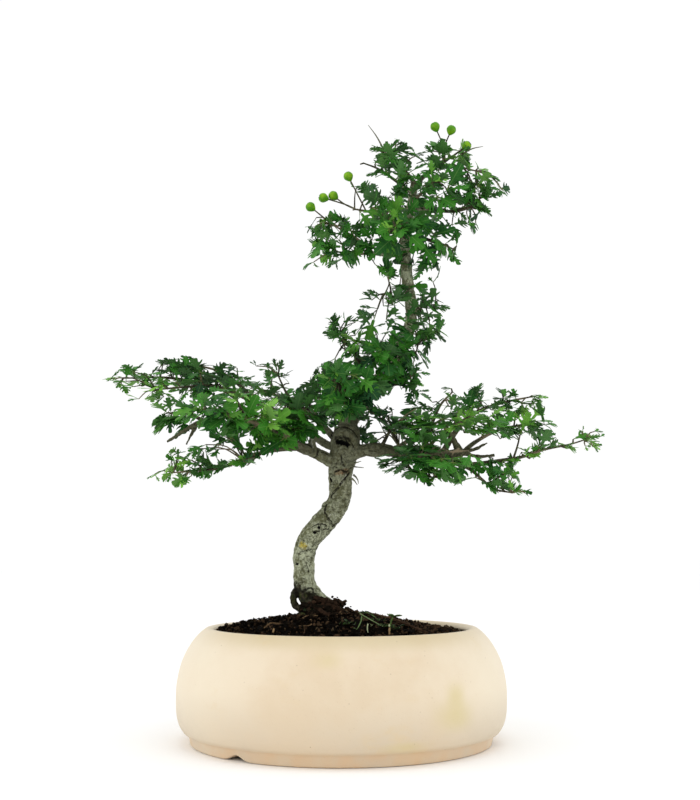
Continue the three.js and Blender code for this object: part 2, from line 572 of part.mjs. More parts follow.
function weed(spare) {
  const curve = curveThrough(WEED_STEM);
  const crown = curve.getPoint(1);
  const bodies = [limb(curve, () => WEED_RADIUS + spare, WEED_SIDES, WEED_STEM.length - 1)];
  for (let i = 0; i < WEED_LEAFLETS; i++) {
    const leaflet = new THREE.CylinderGeometry(1, 1, LEAFLET_THICKNESS, LIMB_SIDES).rotateX(Math.PI / 2);
    leaflet.scale(LEAFLET_HALF_LENGTH, LEAFLET_HALF_WIDTH, 1);
    leaflet.translate(LEAFLET_HALF_LENGTH * LEAFLET_REACH, 0, 0);
    leaflet.rotateY(-LEAFLET_RISE).rotateZ((i * 2 * Math.PI) / WEED_LEAFLETS);
    leaflet.translate(crown.x, crown.y, crown.z - LEAFLET_SINK);
    bodies.push(solid(leaflet));
  }
  return join(bodies);
}

function finish(color, roughness) {
  return new THREE.MeshStandardMaterial({ color, roughness, metalness: 0 });
}

const FINISHES = {
  stoneware: finish(0xecdcbd, 0.7),
  screen: finish(0x2a2a2a, 0.6),
  soil: finish(0x241912, 1),
  bark: finish(0x8f8a72, 0.9),
  foliage: finish(0x2f6b2a, 0.5),
  haw: finish(0x6fb02a, 0.35),
  seedling: finish(0x5f9a3c, 0.6),
};

const bonsai = new THREE.Group();

function show(name, body, material) {
  const mesh = new THREE.Mesh(geometryOf(body), material);
  mesh.name = name;
  bonsai.add(mesh);
}

const tree = wood(0);
const treeGrown = wood(CLEAR);
const twigs = join([treeGrown, ...Object.values(BRANCHES).map((branch) => stem(branch, CLEAR))]);
const hawBodies = Object.entries(HAWS).map(([name, bunch]) => [name, haws(bunch, twigs)]);

show("pot", pot(), FINISHES.stoneware);
show("drain_screen", drainScreen(), FINISHES.screen);
show("soil", soil(treeGrown, weed(CLEAR)), FINISHES.soil);
show("tree", tree, FINISHES.bark);
const leafy = sprays(tree, [treeGrown, ...hawBodies.map(([, body]) => body)]);
for (const [name, body] of Object.entries(leafy)) show(`spray_${name}`, body, FINISHES.foliage);
for (const [name, body] of hawBodies) show(name, body, FINISHES.haw);
show("weed_seedling", weed(0), FINISHES.seedling);

const middle = new THREE.Box3().setFromObject(bonsai).getCenter(new THREE.Vector3());
bonsai.position.set(-middle.x, -middle.y, 0);

export default bonsai;
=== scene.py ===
"""A hawthorn bonsai in a round cream stoneware pot, dressed around its packed frame.

Places are written in millimetres from the pot's axis, and at() turns them into metres in the part's frame.
"""

import math
import random

import bmesh
import bpy
from bpy.props import FloatProperty, FloatVectorProperty, IntProperty, PointerProperty
from mathutils import Matrix, Vector, noise
from mathutils.kdtree import KDTree


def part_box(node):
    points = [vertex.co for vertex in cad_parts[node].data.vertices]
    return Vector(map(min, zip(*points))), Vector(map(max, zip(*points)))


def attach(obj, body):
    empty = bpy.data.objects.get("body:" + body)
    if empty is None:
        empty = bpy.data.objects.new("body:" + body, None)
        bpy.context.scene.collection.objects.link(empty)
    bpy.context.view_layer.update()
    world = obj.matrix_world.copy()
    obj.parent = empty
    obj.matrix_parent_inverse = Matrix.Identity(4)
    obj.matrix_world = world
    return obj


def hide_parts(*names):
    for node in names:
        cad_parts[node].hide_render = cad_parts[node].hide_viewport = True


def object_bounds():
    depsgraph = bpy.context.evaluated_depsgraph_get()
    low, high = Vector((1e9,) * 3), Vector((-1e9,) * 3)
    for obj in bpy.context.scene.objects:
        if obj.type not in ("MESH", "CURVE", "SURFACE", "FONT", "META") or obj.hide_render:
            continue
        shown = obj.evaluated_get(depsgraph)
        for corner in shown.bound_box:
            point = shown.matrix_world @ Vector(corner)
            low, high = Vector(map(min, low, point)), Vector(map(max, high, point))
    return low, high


bl_info = {
    "name": "Hawthorn bonsai",
    "version": (1, 0, 0),
    "blender": (4, 5, 0),
    "location": "3D View > Sidebar > Bonsai",
    "description": "Models a hawthorn bonsai with lobed leaves and haws in a round stoneware pot",
    "category": "Add Mesh",
}

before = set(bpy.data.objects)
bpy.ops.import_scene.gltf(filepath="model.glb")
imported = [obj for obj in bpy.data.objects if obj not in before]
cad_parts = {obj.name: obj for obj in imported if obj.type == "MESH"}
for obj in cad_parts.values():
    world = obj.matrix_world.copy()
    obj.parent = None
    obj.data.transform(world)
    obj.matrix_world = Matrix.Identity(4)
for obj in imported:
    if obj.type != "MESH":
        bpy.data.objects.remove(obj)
CAD_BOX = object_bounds()

MM = 0.001
# The eye, from the pot's axis, in millimetres
EYE = (6.4, -900, 145)
POT_LOW, POT_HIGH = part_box("pot")
POT_MIDDLE = (POT_LOW + POT_HIGH) / 2
GOLDEN_ANGLE = math.radians(137.5)
UP = Vector((0, 0, 1))

# The pot in section, as radius and height: the outside, the lip, the inside and the underside
FOOT_OUTSIDE = [
    (112.5, 0), (113.4, 0.5), (114.6, 6.5), (115, 8.2), (115.7, 8.9), (117.6, 8.9), (118.8, 9.4),
]
BELLY = [
    (118.8, 9.4), (122, 14.5), (124, 22), (124.55, 31), (124.4, 41), (123.1, 50.5), (120.8, 59.3),
    (117.3, 67.2), (112.7, 74.6), (107.6, 80.4), (104.3, 83),
]
LIP = [(104.3, 83), (102.8, 84), (101, 84.35), (99.2, 84.1), (97.6, 83.3), (96.7, 82.2), (96.5, 81)]
POT_INSIDE = [
    (96.5, 81), (102, 74.5), (108, 67), (114.5, 52), (116.3, 36), (112, 22), (103, 13.5), (60, 12.6),
]
DRAIN_RADIUS = 12
DRAIN_TOP = 12.5
FOOT_RECESS = 6
FOOT_UNDERSIDE = [(60, FOOT_RECESS), (100.5, FOOT_RECESS), (101.4, 5.4), (103, 0.4), (103.6, 0), (108, 0)]
FOOT_BAND = 9
# The drain notches in the foot: where they begin, their turns in degrees, height and half width
NOTCH_START = 101
NOTCH_ANGLES = (-129, -9, 111)
NOTCH_HEIGHT = 4.1
NOTCH_HALF_WIDTH = 6.5

# Yellow smudges on the pot's front: the middle's x and z, and the reach to the sides and up
SMUDGES = [(78, 44, 10, 14), (76, 31, 20, 15), (44, 13, 20, 6), (-10, 70, 16, 9)]

# The drain screen
SCREEN_SIDE = 34
SCREEN_MIDDLE = 13.3
SCREEN_PITCH = 2
SCREEN_WIRE = 0.5

# The soil: its floor, the gap to the pot's wall, its edge's height, and the mound's rise, reach and fall
SOIL_FLOOR = 12.85
SOIL_GAP = 0.4
SOIL_EDGE = 81.9
SOIL_MOUND = 12.9
SOIL_REACH = 95.6
SOIL_FALL = 1.6
# The rings that the mound is turned in, from its outermost radius to its innermost
MOUND_RINGS = 46
MOUND_RADII = (93.6, 1.5)
MOUND_SEGMENTS = 144
# The radius of the holes in the turned soil's middle, which are then filled
HOLE_RADIUS = 2
# The clods in the mound's surface: their grain and depth, and the height above which they lie
SOIL_RELIEF = ((14, 4), (5, 3), (2.2, 1.6))
RELIEF_START = 82.5
# How deep the mound has settled on the right, and the x and the heights between which it begins to
SOIL_SINK = 3.0
SINK_ACROSS = (0, 60)
SINK_HEIGHTS = (76, 84)
# Crumbs against the middling one: the smallest, the big ones and the share that are big
CRUMB_SMALLEST = 0.35
CRUMB_BIG = 2.1
CRUMB_BIG_SHARE = 0.16

# The trunk and the leader: x, y, z and radius
TRUNK = [
    (-12, 1, 70, 14), (-10, 1, 84, 14.6), (-14, 1, 95, 13.6), (-22, 0, 104, 9.4), (-28, 0, 115, 9),
    (-29, 0, 127, 8.3), (-29, 1, 139, 8.2), (-26, 2, 149, 8.8), (-18, 3, 159, 9), (-8, 4, 171, 9.4),
    (-2, 4, 181, 9), (-1, 3, 191, 8.8), (-1, 1, 201, 9), (0, 0, 210, 9.8), (2, 0, 219, 10.8),
    (3, 0, 228, 11.8), (4, 1, 237, 9.4),
]
LEADER = [
    (4, 1, 231, 7.5), (6, 3, 244, 7.2), (16, 6, 258, 6.6), (28, 8, 274, 6.2), (37, 7, 286, 5.8),
    (45, 5, 300, 5.4), (52, 3, 313, 5), (55, 2, 327, 4.8), (54, 1, 341, 4.8), (52, 0, 355, 4.6),
    (51, -1, 370, 4.6), (50, 0, 384, 4.4), (52, 2, 398, 4.2), (55, 3, 413, 3.8), (57, 2, 426, 3.4),
    (58, 0, 437, 3),
]
ROOT_RADII = (6.5, 2.4)
ROOTS = [
    [(-17, 0, 96), (-27, -5, 93), (-35, -10, 84), (-40, -13, 74)],
    [(-13, 1, 98), (-4, -3, 95), (6, -8, 89), (13, -12, 78)],
    [(-13, -2, 95), (-13, -12, 91), (-12, -20, 83), (-11, -25, 74)],
    [(-13, 3, 95), (-9, 13, 91), (-5, 21, 83), (-3, 26, 74)],
]

# Bare limbs and pruned stubs: first and last radius, then points
LIMBS = [
    (5.2, 1.2, [
        (-1, 0, 208), (-11, -4, 212), (-21, -8, 217), (-32, -12, 221), (-49, -17, 226), (-68, -22, 235),
        (-88, -24, 245), (-105, -26, 240), (-119, -28, 232), (-132, -30, 223),
    ]),
    (1.4, 0.9, [(-110, -27, 237), (-114, -29, 228), (-117, -30, 221)]),
    (5.6, 3, [
        (3, 0, 216), (16, -3, 219), (30, -8, 220), (45, -12, 216), (62, -14, 215), (77, -14, 215),
        (93, -12, 216),
    ]),
    (2.8, 2.4, [(92, -12, 216), (86, -13, 226), (80, -14, 236)]),
    (1.6, 1.2, [(91, -12, 216), (105, -10, 214), (118, -8, 215)]),
    (1.5, 1.1, [(90, -12, 216), (102, -14, 219), (112, -16, 224)]),
    (3.4, 2.6, [(-21, -8, 217), (-23, -11, 224), (-21, -12, 231)]),
]
# Short dry spikes on the trunk and in the crown
SPIKES = [
    [(5, -8, 207), (10, -10, 206), (17, -13, 205)], [(7, -8, 209), (11, -11, 209), (15, -14, 210)],
    [(8, -7, 197), (10, -9, 195), (12, -10, 192)], [(9, -6, 200), (12, -8, 197), (13, -9, 193)],
    [(92, -12, 217), (97, -13, 222), (102, -13, 226)], [(35, -8, 456), (28, -8, 470), (21, -8, 480)],
    [(95, -6, 456), (104, -6, 461), (113, -6, 463)],
]
# A root that loops out of the trunk's foot on the left
ROOT_LOOP = [(-29, -1, 117), (-34.5, -2, 112), (-37, -3, 106), (-35, -4, 100), (-28, -4, 96.5)]
ROOT_LOOP_RADIUS = 2.6

# Marks on the bark as they show from the front: what they stain, half width, depth (less than 0 is raised),
# strength, and a line of x and z on the plane through the pot's axis
# The hollows' stain is painted shade in their pits
MARKS = [
    ("hollow", 3.6, 3.0, 1.0, [(-4.2, 226.4), (0.2, 225.4), (4.6, 224.2)]),
    ("scar", 3.4, 0.8, 0.5, [(-5, 229), (0.2, 229.5), (6, 228)]),
    ("scar", 1.0, 0.8, 0.9, [(-6.1, 234.6), (-1.4, 237.7), (4.8, 237), (9.5, 233.8), (12.6, 229.1)]),
    ("pale", 3.2, -1.3, 0.25, [(-4.5, 230.7), (-0.6, 234.6), (5.6, 233), (10.3, 227.5), (11.9, 221.3)]),
    ("scar", 0.9, 0.7, 0.8, [(-1.4, 230.7), (4.1, 229.1), (8, 224.4), (10.3, 220.5)]),
    # Painted shade along the knob's left edge, drawn as a soft wide scar
    ("scar", 2.7, 0.4, 0.6, [(-6.9, 235.4), (-7.7, 229.1)]),
    ("scar", 1.4, 0.7, 0.65, [(-0.6, 215.8), (0.2, 211.1), (1.7, 207.2)]),
    ("scar", 0.7, 0.5, 0.8, [(-4.5, 209.6), (-4.5, 205.7)]),
    ("rust", 3.6, 0.0, 0.9, [(-4.5, 201.8), (1, 202.6), (4.8, 203.3)]),
    ("scar", 1.2, 1.1, 1.0, [(-5.3, 202.6), (-0.6, 204.1), (3.3, 202.6), (7.2, 205.7), (11.1, 207.2)]),
    ("hollow", 1.7, 0.9, 1.0, [(-8.8, 197.1), (-8, 195.6)]),
    ("scar", 1.6, 0.3, 0.55, [(8.7, 203.3), (9.5, 197.9), (8, 191.7)]),
    ("scar", 1.6, 1.0, 0.95, [(5.6, 201), (1, 195.6), (-2.9, 190.1), (-6.8, 186.3), (-8.3, 183.2)]),
    ("pale", 1.1, -0.4, 1.0, [(-0.6, 194.8), (0.2, 194)]),
    ("pale", 1.0, -0.4, 1.0, [(2.5, 198.7), (3.3, 200.2)]),
    ("pale", 0.9, -0.3, 1.0, [(0.8, 196.4), (1.4, 197.4)]),
    ("scar", 0.9, 0.5, 0.5, [(8, 188.6), (6.4, 180.8), (2.5, 174.7)]),
    ("pale", 4.4, -1.5, 0.1, [(-16.1, 176.2), (-13.8, 177)]),
    ("scar", 0.9, 0.6, 0.9, [(-15.3, 175.4), (-11.4, 177)]),
    ("scar", 1.6, 1.0, 0.95, [(-12.2, 177), (-13, 171.6), (-10.6, 166.9), (-7.5, 162.3)]),
    ("pale", 1.1, -0.3, 0.9, [(-9.9, 168.5), (-8.3, 170)]),
    ("scar", 2.4, 0.4, 0.6, [(-6.7, 160.8), (-2.1, 163.1), (1.8, 168.5)]),
    ("scar", 0.9, 0.7, 0.9, [(-23, 160), (-18.4, 162.3), (-12.9, 161.6), (-9.8, 159.2)]),
    ("scar", 0.9, 0.7, 0.9, [(-21.4, 156.2), (-16.8, 156.9), (-12.2, 158.5), (-8.3, 156.9)]),
    ("hollow", 1.5, 1.0, 1.0, [(-18, 160), (-17.2, 159.2)]),
    ("hollow", 1.5, 1.0, 1.0, [(-21.4, 156.2), (-20.6, 155.4)]),
    ("lichen", 4.4, 0.0, 1.0, [(-30.6, 146.2), (-29.1, 145.4)]),
    ("scar", 0.7, 0.5, 0.7, [(-31.4, 140.8), (-26.8, 142.4), (-22.1, 143.1)]),
    ("pale", 3.4, -1.1, 0.0, [(-21.4, 146.2), (-21.4, 139.3)]),
    ("scar", 1.5, 0.3, 0.6, [(-20.6, 143.1), (-21.4, 137.8)]),
    ("scar", 3.6, 0.7, 0.6, [(-26, 109), (-23, 106), (-18.5, 103)]),
    ("hollow", 1.5, 0.8, 1.0, [(-34.8, 131.7), (-34, 131.7)]),
    ("scar", 0.6, 0.4, 0.7, [(-34.5, 150.8), (-33, 149.3)]),
    ("scar", 0.9, 0.4, 0.6, [(-36.4, 143.1), (-36.4, 141.6)]),
    ("scar", 0.6, 0.5, 0.7, [(-29.1, 136.3), (-26.7, 130.9), (-25.2, 125.6)]),
    ("scar", 0.6, 0.5, 0.6, [(-26, 134.7), (-24.4, 130.2)]),
    ("scar", 0.6, 0.4, 0.6, [(-30.5, 124.8), (-25.2, 126.3)]),
    ("scar", 1.6, 0.8, 0.9, [(-30.5, 110.4), (-28.2, 111.9), (-24.3, 113.4), (-22, 111.9), (-21.2, 105.8)]),
    ("scar", 3.0, 0.3, 0.8, [(-35.1, 111.9), (-33.5, 106.6), (-35, 101.3)]),
    ("pale", 2.4, 0.0, 0.5, [(-22.5, 221), (-23.5, 226), (-22, 231)]),
    ("cut", 3.4, 0.0, 1.0, [(79.5, 236.3), (82, 237.2), (84.5, 237)]),
    ("scar", 1.2, 0.9, 0.8, [
        (-27, 104.5), (-24, 108.5), (-20, 109), (-17.5, 105), (-19.5, 101.5), (-24, 101),
    ]),
    ("scar", 0.7, 0.5, 0.7, [(-18.2, 117.2), (-16.7, 114.9)]),
    ("scar", 1.6, 0.4, 0.7, [(-22.4, 212.7), (-19.3, 215), (-18.6, 219.7)]),
    ("scar", 0.7, 0.6, 0.8, [(-16.2, 218.1), (-13.1, 217.4), (-9.2, 215)]),
]
# Among these stains, the hollows' one is painted shade, and the one for limbs away from the trunk is young
# bark with painted shade
STAINS = ("scar", "hollow", "rust", "lichen", "pale", "cut", "thin")
MARK_STEP = 0.7
# How ragged the marks' edges are, and how fine
MARK_RAGGED = 1.6
MARK_GRAIN = 420
# How far from the trunk, in millimetres, bark starts to be a young limb's, browner and with painted shade,
# and how far it is wholly so
YOUNG_BARK_AND_SHADE = (6, 40)

# Leafy branches: the bare share that is the tree's, the radius where they fork, points, and tufts of leaves
# on short twigs: the place, then their length and number where they aren't TUFT_LENGTH and TUFT_LEAVES
BRANCHES = {
    "left_high": (0.62, 3.4, [
        (2, 0, 224), (-8, 4, 223), (-17, 10, 228), (-31, 16, 239), (-48, 24, 250), (-70, 30, 261),
        (-93, 32, 271), (-117, 28, 277), (-143, 22, 280), (-175, 12, 278),
    ], [
        (-148, 26, 297, 15), (-137, 28, 294, 15), (-126, 32, 293, 15, 3), (-116, 36, 292, 15),
        (-104, 30, 290, 15), (-91, 24, 287, 14), (-128, 18, 282, 15), (-110, 16, 278), (-93, 8, 274),
        (-79, 12, 279, 14),
    ]),
    "left_outer": (0.15, 1.8, [(-93, 32, 271), (-109, 14, 272), (-127, 0, 269), (-145, -8, 266)], [
        (-167, 4, 286, 12, 3), (-173, -6, 276, 11, 3), (-184, -8, 277, 9, 3), (-166, -8, 271, 10, 3),
        (-163, -10, 259, 11, 2), (-147, -14, 256, 13, 3), (-152, 0, 277, 13, 3), (-143, -6, 266, 12, 3),
    ]),
    "left_top": (0.2, 2, [(-70, 30, 261), (-84, 38, 276), (-101, 42, 288), (-124, 42, 294)], [
        (-109, 20, 271), (-123, 24, 275, 15),
    ]),
    "left_rise": (0.2, 1.7, [(-31, 16, 239), (-38, 22, 256), (-46, 28, 270), (-52, 30, 283)], [
        (-62, 26, 290, 8, 3), (-72, 24, 293, 8, 3), (-54, 28, 296, 8, 3), (-47, 26, 285, 9, 3),
        (-40, 24, 279, 9, 2),
    ]),
    "left_front": (0.3, 2.8, [
        (-21, -8, 217), (-31, -26, 221), (-44, -48, 228), (-60, -66, 233), (-79, -78, 238),
        (-97, -82, 241),
    ], [
        (-92, -80, 249, 17, 5), (-81, -76, 246, 18, 5), (-103, -84, 246, 17), (-73, -66, 242, 18, 5),
        (-86, -72, 238, 18, 5), (-62, -60, 248, 17, 5), (-66, -56, 239, 18, 5), (-112, -80, 242, 15),
        (-96, -84, 238, 17), (-77, -56, 255, 17),
    ]),
    "left_bottom": (0.25, 2, [
        (-32, -12, 220), (-44, -18, 219), (-61, -22, 216), (-74, -26, 211), (-88, -28, 205),
        (-103, -30, 202), (-126, -33, 200),
    ], [
        (-70, -26, 213, 9), (-79, -28, 209, 8, 2), (-100, -30, 205, 15, 3), (-94, -30, 201, 11, 2),
        (-107, -32, 199, 13), (-117, -32, 201, 8, 3), (-130, -33, 197, 8, 3), (-143, -33, 197, 7, 3),
        (-120, -34, 193, 11, 1),
    ]),
    "left_back": (0.4, 3, [
        (-3, 4, 226), (-14, 26, 240), (-30, 50, 255), (-49, 70, 268), (-73, 84, 280), (-96, 90, 288),
    ], [
        (-65, 30, 269, 15), (-77, 36, 273, 15), (-54, 34, 265, 15),
    ]),
    "left_end": (0.24, 1.6, [(-105, -26, 240), (-118, -18, 246), (-132, -10, 247)], [
        (-139, -14, 243), (-135, -18, 235, 15), (-126, -24, 241, 15), (-118, -30, 245),
        (-144, -10, 248, 13, 3),
    ]),
    "left_under": (0.2, 1.6, [(-49, -17, 226), (-60, -36, 214), (-72, -50, 208)], [
        (-96, -52, 230, 16, 3), (-87, -46, 228, 14, 3), (-81, -44, 219, 14, 3), (-69, -38, 223, 11, 2),
        (-106, -46, 219, 12, 2), (-112, -44, 215, 12, 2), (-97, -44, 215, 13, 3),
    ]),
    "left_inner": (0.24, 1.6, [(-68, -22, 235), (-76, -38, 250), (-84, -50, 258)], [
        (-78, -48, 235, 17), (-69, -44, 231), (-59, -46, 234), (-50, -40, 239),
    ]),
    "knob_left": (0.3, 1.6, [(-24, 13, 233), (-30, 0, 248), (-36, -12, 258)], [
        (-43, -14, 251, 17, 5), (-52, -22, 245, 17), (-35, -10, 244), (-26, -18, 247),
        (-34, -12, 259, 15), (-45, -24, 233, 15, 3), (-29, -16, 234, 14, 3), (-39, -30, 248),
        (-31, -34, 240), (-22, -30, 248), (-31, -34, 229, 15), (-43, -34, 236), (-18, -30, 240, 15),
        (-27, -24, 258, 15), (-15, -28, 253, 14, 3), (-50, -34, 228, 14, 3), (-36, -36, 234),
        (-28, -38, 237), (-20, -36, 235, 15), (-13, -32, 243, 15), (-12, -30, 236, 13, 3),
        (-44, -40, 228), (-34, -38, 226, 15, 3), (-24, -34, 229, 13, 3), (-6, -30, 247, 14, 3),
    ]),
    "knob_back": (0.2, 2, [(3, 4, 238), (-2, 26, 250), (-8, 46, 258), (-12, 62, 262)], [
        (-13, 30, 261), (-21, 36, 270, 15), (-3, 28, 267, 15),
    ]),
    "right_long": (0.4, 2.4, [
        (66, -14, 215), (83, -18, 209), (99, -20, 207), (121, -20, 210), (138, -18, 213), (156, -14, 219),
        (175, -10, 223), (188, -8, 227),
    ], [
        (147, -20, 218, 15, 2), (187, -10, 236, 6, 3), (198, -8, 235, 6, 3), (203, -8, 230, 7, 2),
        (197, -8, 221, 6, 2), (190, -10, 220, 6, 2), (164, -16, 221, 8, 2), (174, -14, 222, 6, 2),
        (133, -18, 204, 10, 2),
    ]),
    "right_low": (0.3, 1.8, [
        (83, -18, 209), (96, -24, 204), (106, -28, 195), (114, -30, 188), (128, -31, 185),
    ], [
        (113, -28, 191, 12), (124, -28, 192, 14), (135, -26, 199, 14, 2), (141, -30, 184, 13, 1),
        (130, -26, 201, 11, 2), (120, -26, 198, 9, 2),
    ]),
    "right_up": (0.35, 2.6, [
        (77, -14, 215), (86, -4, 230), (98, 6, 245), (114, 12, 254), (134, 14, 260), (150, 12, 263),
    ], [
        (106, 8, 271, 16, 3), (117, 6, 261, 13), (130, 12, 267, 10), (139, 14, 267, 10, 3),
        (134, 6, 257, 12), (147, 10, 255, 13), (155, 14, 262, 9, 3), (119, -6, 255, 14, 3),
    ]),
    "right_rise": (0.35, 2.4, [(62, -14, 215), (68, -16, 235), (76, -14, 253), (86, -11, 264)], [
        (54, -14, 257, 15), (79, -12, 259, 17, 2), (63, -20, 253, 14, 3),
    ]),
    "right_mid": (0.25, 2, [(92, -12, 216), (106, -4, 227), (124, 2, 236), (145, 6, 241)], [
        (152, -4, 234, 15), (165, 0, 242, 14, 3), (162, -2, 232, 12, 2), (141, -12, 239, 15, 3),
        (129, -16, 241, 16, 3), (127, -18, 227, 15, 2),
    ]),
    "right_front": (0.35, 2.6, [
        (30, -8, 220), (41, -34, 214), (54, -60, 210), (70, -78, 211), (90, -88, 212),
    ], [
        (38, -44, 215, 17), (46, -52, 207, 17), (54, -60, 202, 17, 5), (64, -72, 204, 18, 5),
        (73, -80, 199, 18, 5), (81, -84, 196, 17), (58, -56, 214, 18), (70, -62, 213, 18),
        (80, -70, 207, 17), (36, -42, 219, 15), (45, -50, 215), (54, -48, 220), (64, -52, 221),
        (73, -54, 217), (40, -44, 226, 14, 3), (83, -58, 219, 17), (76, -56, 223, 17),
        (80, -52, 214, 16, 3), (92, -54, 215, 15, 3), (49, -46, 224, 17), (58, -50, 227, 17),
        (68, -54, 227, 17),
    ]),
    "right_drop": (0.25, 2, [(45, -12, 216), (50, -30, 205), (56, -46, 198), (68, -54, 195)], [
        (44, -36, 199, 15, 3), (55, -44, 195), (67, -50, 196), (77, -54, 193, 14, 3),
        (85, -52, 190, 12, 2), (36, -30, 211, 12, 3), (31, -28, 209, 11, 3),
    ]),
    "right_back": (0.4, 2.8, [
        (14, -3, 219), (28, 18, 218), (46, 44, 226), (68, 66, 242), (93, 80, 256), (112, 86, 264),
    ], [
        (24, 8, 254, 9, 3), (30, 8, 251, 9, 3), (36, 8, 247, 10, 3), (43, 8, 244, 10, 3),
        (17, 0, 245, 12), (19, 4, 256, 9, 2), (25, -6, 229, 10),
    ]),
    "right_inner": (0.15, 1.8, [(30, -8, 220), (38, -22, 234), (48, -34, 242)], [
        (35, -26, 233, 17), (45, -34, 229, 18), (57, -42, 230, 18, 5), (66, -46, 223, 17),
        (41, -24, 241, 16, 3), (53, -36, 239, 17), (16, -20, 247, 12), (28, -20, 246, 12),
        (40, -22, 244, 12), (24, -20, 229, 11, 3), (34, -22, 250, 11, 3),
    ]),
    "right_fore": (0.15, 1.8, [(62, -14, 215), (72, -36, 226), (84, -54, 234)], [
        (66, -36, 239, 17), (75, -44, 247, 17), (96, -40, 245, 18), (106, -44, 238, 18),
        (98, -48, 232, 17), (90, -38, 251, 15), (115, -36, 245, 17), (119, -34, 235, 16, 3),
    ]),
    "mid_left": (0.25, 2.2, [(28, 8, 274), (17, 0, 284), (8, -6, 298), (-3, -8, 308)], [
        (-9, -14, 314, 17, 3), (0, -20, 305), (14, -26, 301), (-12, -18, 285, 18, 3), (-1, -30, 292),
        (8, -34, 284, 17),
    ]),
    "mid_front": (0.2, 2, [(16, 6, 258), (8, -18, 262), (0, -38, 265), (-8, -52, 268)], [
        (-4, -40, 254, 15), (3, -40, 247, 14), (10, -36, 254), (15, -36, 261), (2, -38, 258, 15),
        (9, -34, 247, 13, 3), (23, -34, 262, 15), (14, -56, 270, 17), (3, -54, 273, 17),
        (23, -56, 264, 17), (-3, -50, 263), (2, -44, 243, 15), (9, -44, 246, 15), (15, -42, 251, 15),
        (21, -44, 256, 15), (-5, -44, 248, 15), (28, -42, 262, 15), (34, -38, 266, 15, 3),
        (9, -40, 240, 12, 3),
    ]),
    "mid_right": (0.38, 1.8, [(45, 5, 300), (56, -6, 303), (66, -12, 305)], [
        (64, -12, 290, 18, 3), (59, -16, 279, 17, 3), (51, -22, 293, 17), (44, -30, 281, 17),
        (55, -14, 304, 15), (55, -24, 313, 15), (50, -24, 322, 14, 3),
    ]),
    "mid_back": (0.25, 2, [(37, 7, 286), (34, 30, 299), (30, 50, 309)], []),
    "mid_low": (0.2, 1.8, [(28, 8, 274), (40, -8, 270), (53, -20, 270)], [
        (38, -26, 273, 17), (29, -30, 261, 17), (46, -20, 267, 15),
    ]),
    "mid_fore": (0.15, 1.8, [(37, 7, 286), (34, -16, 287), (32, -34, 291)], [
        (43, -26, 308, 17), (46, -32, 296, 17), (35, -38, 295), (24, -42, 287, 17), (38, -44, 284, 17),
    ]),
    "mid_inner": (0.32, 1.8, [(16, 6, 258), (2, 16, 268), (-14, 22, 276)], [
        (-16, 10, 278), (-6, 4, 272), (-22, 14, 272, 15),
    ]),
    "crown_twig_left": (0.36, 1.4, [(54, 1, 341), (43, -6, 340), (34, -10, 342)], [
        (23, -14, 341, 18, 2), (38, -14, 344, 17, 3), (33, -12, 359, 17, 3), (42, -20, 333, 15, 3),
        (19, -16, 323, 17, 2), (36, -22, 318),
    ]),
    "crown_twig_right": (0.36, 1.4, [(55, 2, 331), (65, 8, 335), (75, 12, 338)], [
        (58, 6, 348, 16, 3), (78, 4, 337, 14, 3), (70, 0, 324, 17, 3), (78, 2, 310, 17, 3),
        (58, -10, 329, 15, 3), (64, -10, 310), (72, 10, 344, 14, 3),
    ]),
    "top_left_low": (0.6, 2.2, [
        (50, -1, 377), (40, -5, 374), (25, -10, 374), (10, -14, 373), (-4, -16, 374),
    ], [
        (-20, -16, 383, 20, 3), (-23, -20, 389, 17, 3), (-9, -20, 370), (3, -18, 365, 15), (14, -24, 373),
        (-27, -12, 364, 11, 3), (23, -34, 380),
    ]),
    "top_left_mid": (0.3, 1.8, [(52, 2, 398), (40, -4, 403), (25, -8, 408), (10, -10, 410)], [
        (16, -12, 427, 17), (8, -4, 433, 13, 3), (33, -26, 416, 17), (25, -30, 405), (39, -34, 398),
        (11, -18, 404, 15),
    ]),
    "top_left_wing": (0.1, 1.5, [(25, -10, 374), (13, -14, 384), (2, -14, 391), (-8, -12, 397)], [
        (-9, -14, 398, 14), (0, -20, 403, 15), (-16, -8, 405, 12, 3), (-6, -24, 384),
    ]),
    "top_front": (0.2, 1.9, [(51, 0, 388), (47, -20, 388), (41, -40, 388)], [
        (32, -46, 382, 17), (41, -44, 373, 17), (50, -48, 381, 17), (60, -42, 389), (26, -30, 365, 15),
        (53, -30, 404),
    ]),
    "top_back": (0.25, 2, [(52, 2, 398), (57, 26, 409), (65, 48, 418), (74, 62, 426)], []),
    "top_back_left": (0.25, 1.9, [(55, 3, 412), (46, 26, 422), (35, 44, 432), (24, 54, 440)], []),
    "top_right_mid": (0.35, 2.2, [
        (55, 3, 413), (67, 0, 414), (85, -4, 410), (100, -6, 412), (110, -6, 420),
    ], [
        (109, -10, 411), (104, -12, 399, 15, 3), (89, -18, 391, 14, 3), (99, 0, 417, 15),
        (115, -14, 407, 13, 3), (77, -14, 407),
    ]),
    "top_right_low": (0.25, 1.9, [(51, 0, 386), (63, -6, 387), (76, -10, 383), (88, -12, 377)], [
        (73, -26, 387, 19), (82, -16, 374), (90, -12, 367, 13, 3), (71, -16, 366, 18), (60, -28, 375, 17),
        (64, -14, 358, 15, 3),
    ]),
    "top_right_high": (0.74, 2, [(57, 2, 430), (66, 0, 440), (79, -2, 449), (94, -2, 460)], [
        (71, -4, 467, 15, 3), (80, -10, 457), (68, -18, 446), (77, -24, 439, 15), (99, -8, 461, 13),
    ]),
    "top_peak": (0.15, 2, [(58, 0, 435), (51, -2, 443), (43, -3, 450), (36, -4, 458)], [
        (46, -6, 468, 17), (34, -14, 461), (40, -22, 448), (31, 4, 462, 14, 3),
    ]),
